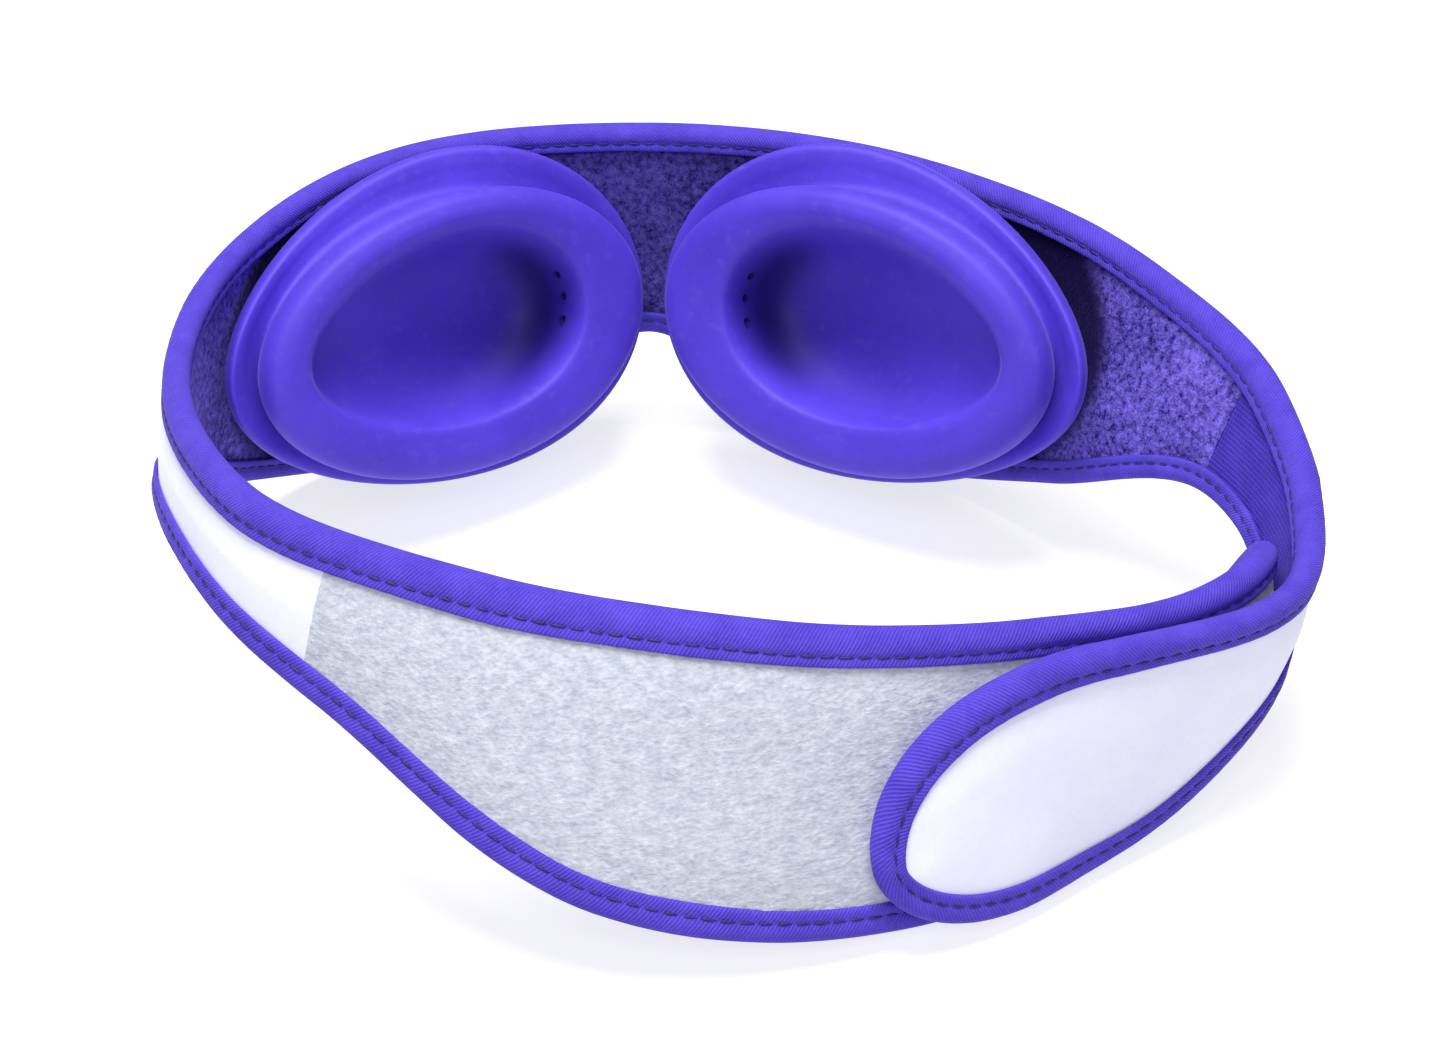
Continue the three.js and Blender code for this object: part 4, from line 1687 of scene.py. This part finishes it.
@dataclass
class EyeCup:
    """Soft silicone cup with a fat rim, a waist and a curled flange, on a round hook pad."""

    label: str
    seat: Seat
    sides: int = 144
    boss_rows: tuple = ((11.9, -3.2, True), (12.8, -2.95, True), (13.0, 0.3, False))
    steps: int = 5
    floor: float = 6.8
    # Rings and bands of the painted shade on the bowl's nose side and in the waist.
    bowl_ring: int = 19
    bowl_shade_turn: float = 0.12
    bowl_shade_band: tuple = (0.52, 0.22, 0.95)
    waist_shade_turn: float = 0.45
    waist_shade_band: tuple = (7.6, 1.1, 0.1, 0.65)
    widest: float = 44.5
    bowl_length: float = 27.0
    vent: float = 0.72
    vent_spacing: float = 4.4
    vent_height: float = 15.0
    vent_reach: float = 35.0
    drill: float = 36.0
    pad_radius: float = 14.5
    pad_distance: float = 3.8
    pad_thickness: float = 1.2
    pad_sides: int = 72
    hook_spread: float = 11.6
    hook_pitch: float = 1.45
    hook_radius: float = 12.6
    rings: tuple = (
        EggRing(0.3, 43.3, 29.8, 0.23, 9.5),
        EggRing(0.8, 44.2, 30.7, 0.23, 9.5),
        EggRing(2.0, 44.5, 31.0, 0.23, 9.5),
        EggRing(3.6, 44.5, 31.0, 0.23, 9.45),
        EggRing(4.6, 43.9, 30.4, 0.225, 9.2),
        EggRing(5.2, 42.3, 28.9, 0.2, 8.6),
        EggRing(5.6, 40.3, 27.0, 0.165, 7.6),
        EggRing(6.4, 38.2, 24.9, 0.125, 6.4),
        EggRing(7.8, 37.2, 24.0, 0.105, 5.0),
        EggRing(9.6, 37.3, 24.0, 0.1, 3.2),
        EggRing(12.2, 38.5, 24.8, 0.07, 1.2),
        EggRing(14.6, 39.7, 25.5, 0.055, 0.2),
        EggRing(17.0, 40.4, 26.0, 0.05),
        EggRing(19.2, 40.3, 25.9, 0.05),
        EggRing(20.9, 39.4, 25.0, 0.05),
        EggRing(21.8, 37.6, 23.4, 0.06),
        EggRing(22.1, 35.2, 21.8, 0.08, 0.0, 0.5, 0.3),
        EggRing(22.0, 32.6, 20.4, 0.11, 0.0, 1.4, 0.8),
        EggRing(21.8, 30.6, 19.0, 0.135, 0.0, 2.2, 1.25),
        EggRing(21.3, 29.4, 17.9, 0.15, 0.0, 2.6, 1.5),
        EggRing(20.2, 28.7, 17.2, 0.15, 0.0, 2.6, 1.5),
        EggRing(18.4, 28.1, 16.6, 0.15, 0.0, 2.4, 1.4, 0.2),
        EggRing(15.6, 27.1, 15.8, 0.15, 0.0, 1.9, 1.1, 1.4),
        EggRing(12.8, 25.5, 14.5, 0.15, 0.0, 1.4, 0.8, 3.2),
        EggRing(10.4, 22.8, 12.4, 0.14, 0.0, 1.1, 0.6, 4.6),
        EggRing(8.7, 19.0, 9.8, 0.12, 0.0, 0.8, 0.4, 5.4),
        EggRing(7.6, 14.0, 6.9, 0.1, 0.0, 0.5, 0.25, 5.6),
        EggRing(7.0, 8.0, 3.9, 0.05, 0.0, 0.2, 0.1, 5.6),
    )

    def _smooth_rows(self) -> np.ndarray:
        """Ring sizes, with smooth in-between rings."""
        rows = np.array([ring.row() for ring in self.rings])
        gap = np.sqrt(np.linalg.norm(np.diff(rows[:, :2], axis=0), axis=1))
        at = np.concatenate([[0], np.cumsum(gap)])
        slope = np.gradient(rows, at, axis=0)
        made = []
        for index in range(len(rows) - 1):
            wide = at[index + 1] - at[index]
            for step in range(self.steps):
                t = step / self.steps
                made.append(
                    (2 * t**3 - 3 * t**2 + 1) * rows[index]
                    + (t**3 - 2 * t**2 + t) * wide * slope[index]
                    + (3 * t**2 - 2 * t**3) * rows[index + 1]
                    + (t**3 - t**2) * wide * slope[index + 1]
                )
        return np.vstack([made, rows[-1]])

    def _boss_rings(self, angle: np.ndarray) -> list[np.ndarray]:
        """Rings of the round boss on the back, cut square to the band."""
        slope = math.tan(math.radians(self.seat.tilt - self.seat.lean()))
        rings = []
        for radius, height, seated in self.boss_rows:
            x, y = radius * np.cos(angle), radius * np.sin(angle)
            rings.append(np.stack([x, y, height + (slope * y if seated else 0 * y)], 1))
        return rings

    def local_rings(self) -> np.ndarray:
        """All rings from the boss, over the rim and down into the bowl."""
        angle = np.arange(self.sides) / self.sides * TURN
        made = self._boss_rings(angle)
        for height, long, tall, taper, curl, out, up, slope in self._smooth_rows():
            x = long * np.cos(angle) + out
            y = tall * np.sin(angle) * (1 - taper * np.cos(angle)) + up
            lift = curl * (x / self.widest) ** 2 + slope * x / self.bowl_length
            made.append(np.stack([x, y, height + lift], 1))
        return np.array(made)

    def painted_light(self, count: int) -> np.ndarray:
        """Painted light level of each ring's points: painted shade on the bowl's nose side and in
        the waist.

        Args:
            count: How many rings there are, the boss's with them.

        Returns:
            0 for full painted shade, to 1 for none, as (ring, place in ring).
        """
        angle = np.arange(self.sides)[None, :] / self.sides * TURN
        ring = np.arange(count)[:, None] - len(self.boss_rows)
        first = self.bowl_ring * self.steps
        down = (ring - first) / (count - len(self.boss_rows) - first)
        # Painted shade on the bowl's nose side, strongest partway down the bowl.
        nose_side = smoothstep(-np.cos(angle - self.bowl_shade_turn), 0.35, 0.98)
        middle, spread, dark = self.bowl_shade_band
        bowl = np.exp(-(((down - middle) / spread) ** 2)) * nose_side * dark
        # Painted shade round the waist, darker on its low outer side.
        low_outside = smoothstep(np.cos(angle + self.waist_shade_turn), 0.5, 1.0)
        middle, spread, dark, darker = self.waist_shade_band
        near = np.exp(-(((ring - middle * self.steps) / (spread * self.steps)) ** 2))
        waist = near * (dark + darker * low_outside)
        return np.clip(1 - bowl - waist, 0, 1)

    def silicone(self) -> bpy.types.Object:
        """Make the cup and cut its vents.

        Returns:
            The cup.
        """
        rings = self.local_rings()
        count = len(rings)
        points = np.vstack([rings.reshape(-1, 3), rings[0].mean(0), [0.0, 0.0, self.floor]])
        faces = wall_faces(count, self.sides)
        last, back = (count - 1) * self.sides, count * self.sides
        for side in range(self.sides):
            after = (side + 1) % self.sides
            faces += [[side, after, back], [last + side, last + after, back + 1]]
        # The cup carries its painted light level, for the painted shade in the bowl and the waist.
        cup = make_piece(
            f"{self.label}_cup_silicone", self.seat.place(points), faces, Cloth.SILICONE.material(),
            None, np.concatenate([self.painted_light(count).ravel(), [1.0, 1.0]]),
        )
        self._cut_vents(cup)
        return cup

    def _cut_vents(self, cup: bpy.types.Object) -> None:
        """Drill the row of small vents through the wall on the nose side."""
        build = bmesh.new()
        out = Vector(self.seat.axes(self.seat.tilt)[0])
        turn = Vector((0, 0, 1)).rotation_difference(out).to_matrix().to_4x4()
        for row in (-1, 0, 1):
            spot = np.array([-self.vent_reach, row * self.vent_spacing, self.vent_height])
            bmesh.ops.create_cone(
                build, cap_ends=True, segments=20, radius1=self.vent * MM, radius2=self.vent * MM,
                depth=self.drill * MM,
                matrix=Matrix.Translation(Vector(self.seat.place(spot))) @ turn,
            )
        mesh = bpy.data.meshes.new("vent_drills")
        build.to_mesh(mesh)
        build.free()
        drills = linked("vent_drills", mesh)
        cut = cup.modifiers.new("vents", "BOOLEAN")
        cut.operation, cut.solver, cut.object = "DIFFERENCE", "EXACT", drills
        keep_result(cup)
        bpy.data.objects.remove(drills)
        cup.data.set_sharp_from_angle(angle=math.radians(40))

    def _disc_points(self, radius: float, distance: float, rows: Sequence[tuple]) -> np.ndarray:
        """Rings of a disc that sits square on the band, from rows of radius share and depth."""
        axes, centre = self._pad_frame()
        angle = np.arange(self.pad_sides) / self.pad_sides * TURN
        rings = []
        for trim, depth in rows:
            reach = radius + trim
            flat = np.outer(np.cos(angle), axes[0]) + np.outer(np.sin(angle), axes[1])
            rings.append(centre + (flat * reach + axes[2] * (distance + depth)) * MM)
        return np.array(rings)

    def _pad_frame(self) -> tuple[np.ndarray, np.ndarray]:
        """The pad's axes, square to the band, and the place on the band behind it."""
        axes = self.seat.axes(self.seat.lean())
        return axes, self.seat.base() - axes[2] * self.seat.stand_off * MM

    def hook_pad(self) -> list[bpy.types.Object]:
        """Make the sewn hook pad and its hooks, which face the lining.

        Returns:
            The pad and the hooks.
        """
        thick = self.pad_thickness
        rows = (
            (-13.5, 0.08), (-1.6, 0.08), (-1.3, 0.16), (-1.0, 0.08), (-0.3, 0.1), (0.0, 0.35),
            (0.0, thick - 0.3), (-0.3, thick), (-1.2, thick - 0.05), (-1.5, thick - 0.16),
            (-1.8, thick - 0.05), (-13.5, thick),
        )
        rings = self._disc_points(self.pad_radius, self.pad_distance, rows)
        count, sides = rings.shape[:2]
        faces = wall_faces(count, sides)
        faces += [list(range(sides)), [(count - 1) * sides + side for side in range(sides)]]
        pad = make_piece(
            f"{self.label}_cup_hook_disc", rings.reshape(-1, 3), faces, Cloth.HOOKS.material()
        )
        axes, centre = self._pad_frame()
        steps = np.arange(-self.hook_spread, self.hook_spread + 0.1, self.hook_pitch)
        spots = np.array([
            centre + (axes[0] * x + axes[1] * y + axes[2] * (self.pad_distance + 0.1)) * MM
            for x in steps for y in steps
        ])
        faces = [
            face for face in Seat.facing(spots, grid_faces(len(steps), len(steps)), -axes[2])
            if all(np.linalg.norm(spots[at] - centre) < self.hook_radius * MM for at in face)
        ]
        used = sorted({index for face in faces for index in face})
        place = {index: number for number, index in enumerate(used)}
        kept = [[place[index] for index in face] for face in faces]
        hooks = HookField().plant(f"{self.label}_cup_hooks", spots[used], kept)
        return [pad, hooks]

    def dress(self) -> list[bpy.types.Object]:
        """Make the cup and its pad, and hand them to their bodies.

        Returns:
            The pieces.
        """
        cup = self.silicone()
        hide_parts(f"{self.label}_cup")
        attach(cup, f"{self.label}_cup")
        pad, hooks = self.hook_pad()
        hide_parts(f"{self.label}_cup_hook_pad")
        for piece in (pad, hooks):
            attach(piece, f"{self.label}_pad")
        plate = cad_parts[f"{self.label}_cup_plate"]
        plate.data.materials.clear()
        plate.data.materials.append(Cloth.PLATE.material())
        return [cup, pad, hooks, plate]


# --- Studio ------------------------------------------------------------------------


@dataclass(frozen=True)
class StudioFloor(Finish):
    """Matt white sweep with a faint tooth."""

    colour: tuple = (0.40, 0.40, 0.40)
    lift: float = 0.74

    def surface(self, graph: Graph) -> dict[str, Any]:
        """Nearly even white.

        Args:
            graph: The material's node tree.

        Returns:
            Values and links of the shader's sockets.
        """
        tooth = self.noise(graph, 40.0, 3.0)
        return {
            "Base Color": graph.blend(tooth, self.colour, (0.42, 0.42, 0.42)),
            "Roughness": 0.9,
            "Emission Color": (1.0, 1.0, 1.0, 1.0),
            "Emission Strength": self.lift,
        }


@dataclass
class Studio:
    """Camera, floor, world and soft lights."""

    eye: tuple = (-0.06774, -0.36478, 0.26623)
    look: tuple = (0.15375, 0.82266, -0.54737)
    lens: float = 63.0
    sensor: float = 36.0
    sky: float = 0.15
    floor_reach: float = 6.0
    floor_drop: float = 0.0004
    aim: tuple = (0.0, 0.0, 0.03)

    def camera(self) -> None:
        """Set up the camera."""
        data = bpy.data.cameras.new("studio_camera")
        data.lens, data.sensor_width = self.lens, self.sensor
        camera = linked("studio_camera", data)
        camera.location = self.eye
        camera.rotation_euler = Vector(self.look).to_track_quat("-Z", "Y").to_euler()
        bpy.context.scene.camera = camera

    def floor(self) -> None:
        """Lay a wide floor just under the mask."""
        corners = np.array([(-1, -1, 0), (1, -1, 0), (1, 1, 0), (-1, 1, 0)]) * self.floor_reach
        corners[:, 2] = -self.floor_drop
        mesh = plain_mesh("studio_floor", corners, [], [[0, 1, 2, 3]])
        mesh.materials.append(StudioFloor("studio_floor", specular=0.1).make())
        floor = linked("studio_floor", mesh)

    def _panel(self, name: str, spot: tuple, size: float, power: float) -> None:
        """Hang one soft light that faces the mask."""
        data = bpy.data.lights.new(name, "AREA")
        data.shape, data.size, data.energy = "DISK", size, power
        light = linked(name, data)
        light.location = spot
        way = Vector(self.aim) - Vector(spot)
        light.rotation_euler = way.to_track_quat("-Z", "Y").to_euler()

    def light(self) -> None:
        """Set up the world and the lights."""
        world = bpy.data.worlds.new("studio_world")
        world.use_nodes = True
        world.node_tree.nodes.clear()
        graph = Graph(world.node_tree)
        white = (1.0, 1.0, 1.0, 1.0)
        sky = graph.node("ShaderNodeBackground", None, {"Color": white, "Strength": self.sky})
        graph.node("ShaderNodeOutputWorld", None, {"Surface": sky})
        bpy.context.scene.world = world
        self._panel("top_light", (-0.05, 0.05, 0.85), 0.5, 10.0)
        self._panel("front_light", (-0.2, -0.7, 0.75), 0.5, 3.5)
        bpy.context.scene.view_settings.view_transform = "Standard"


def main() -> None:
    """Build the mask in order and report each piece."""
    logging.basicConfig(level=logging.INFO, format="%(name)s %(message)s")
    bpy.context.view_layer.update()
    studio = Studio()
    studio.camera()
    studio.floor()
    studio.light()
    right = EyeCup("right", Seat(1, 56, 33))
    left = EyeCup("left", Seat(-1, -53, 31))
    parts = (PaddedPanels(PATH), FoldedTape(PATH), TabHooks(PATH), right, left)
    for part in parts:
        for piece in part.dress():
            LOG.info("%s: %s, %d faces", type(part).__name__, piece.name, len(piece.data.polygons))


if __name__ == "__main__":
    main()
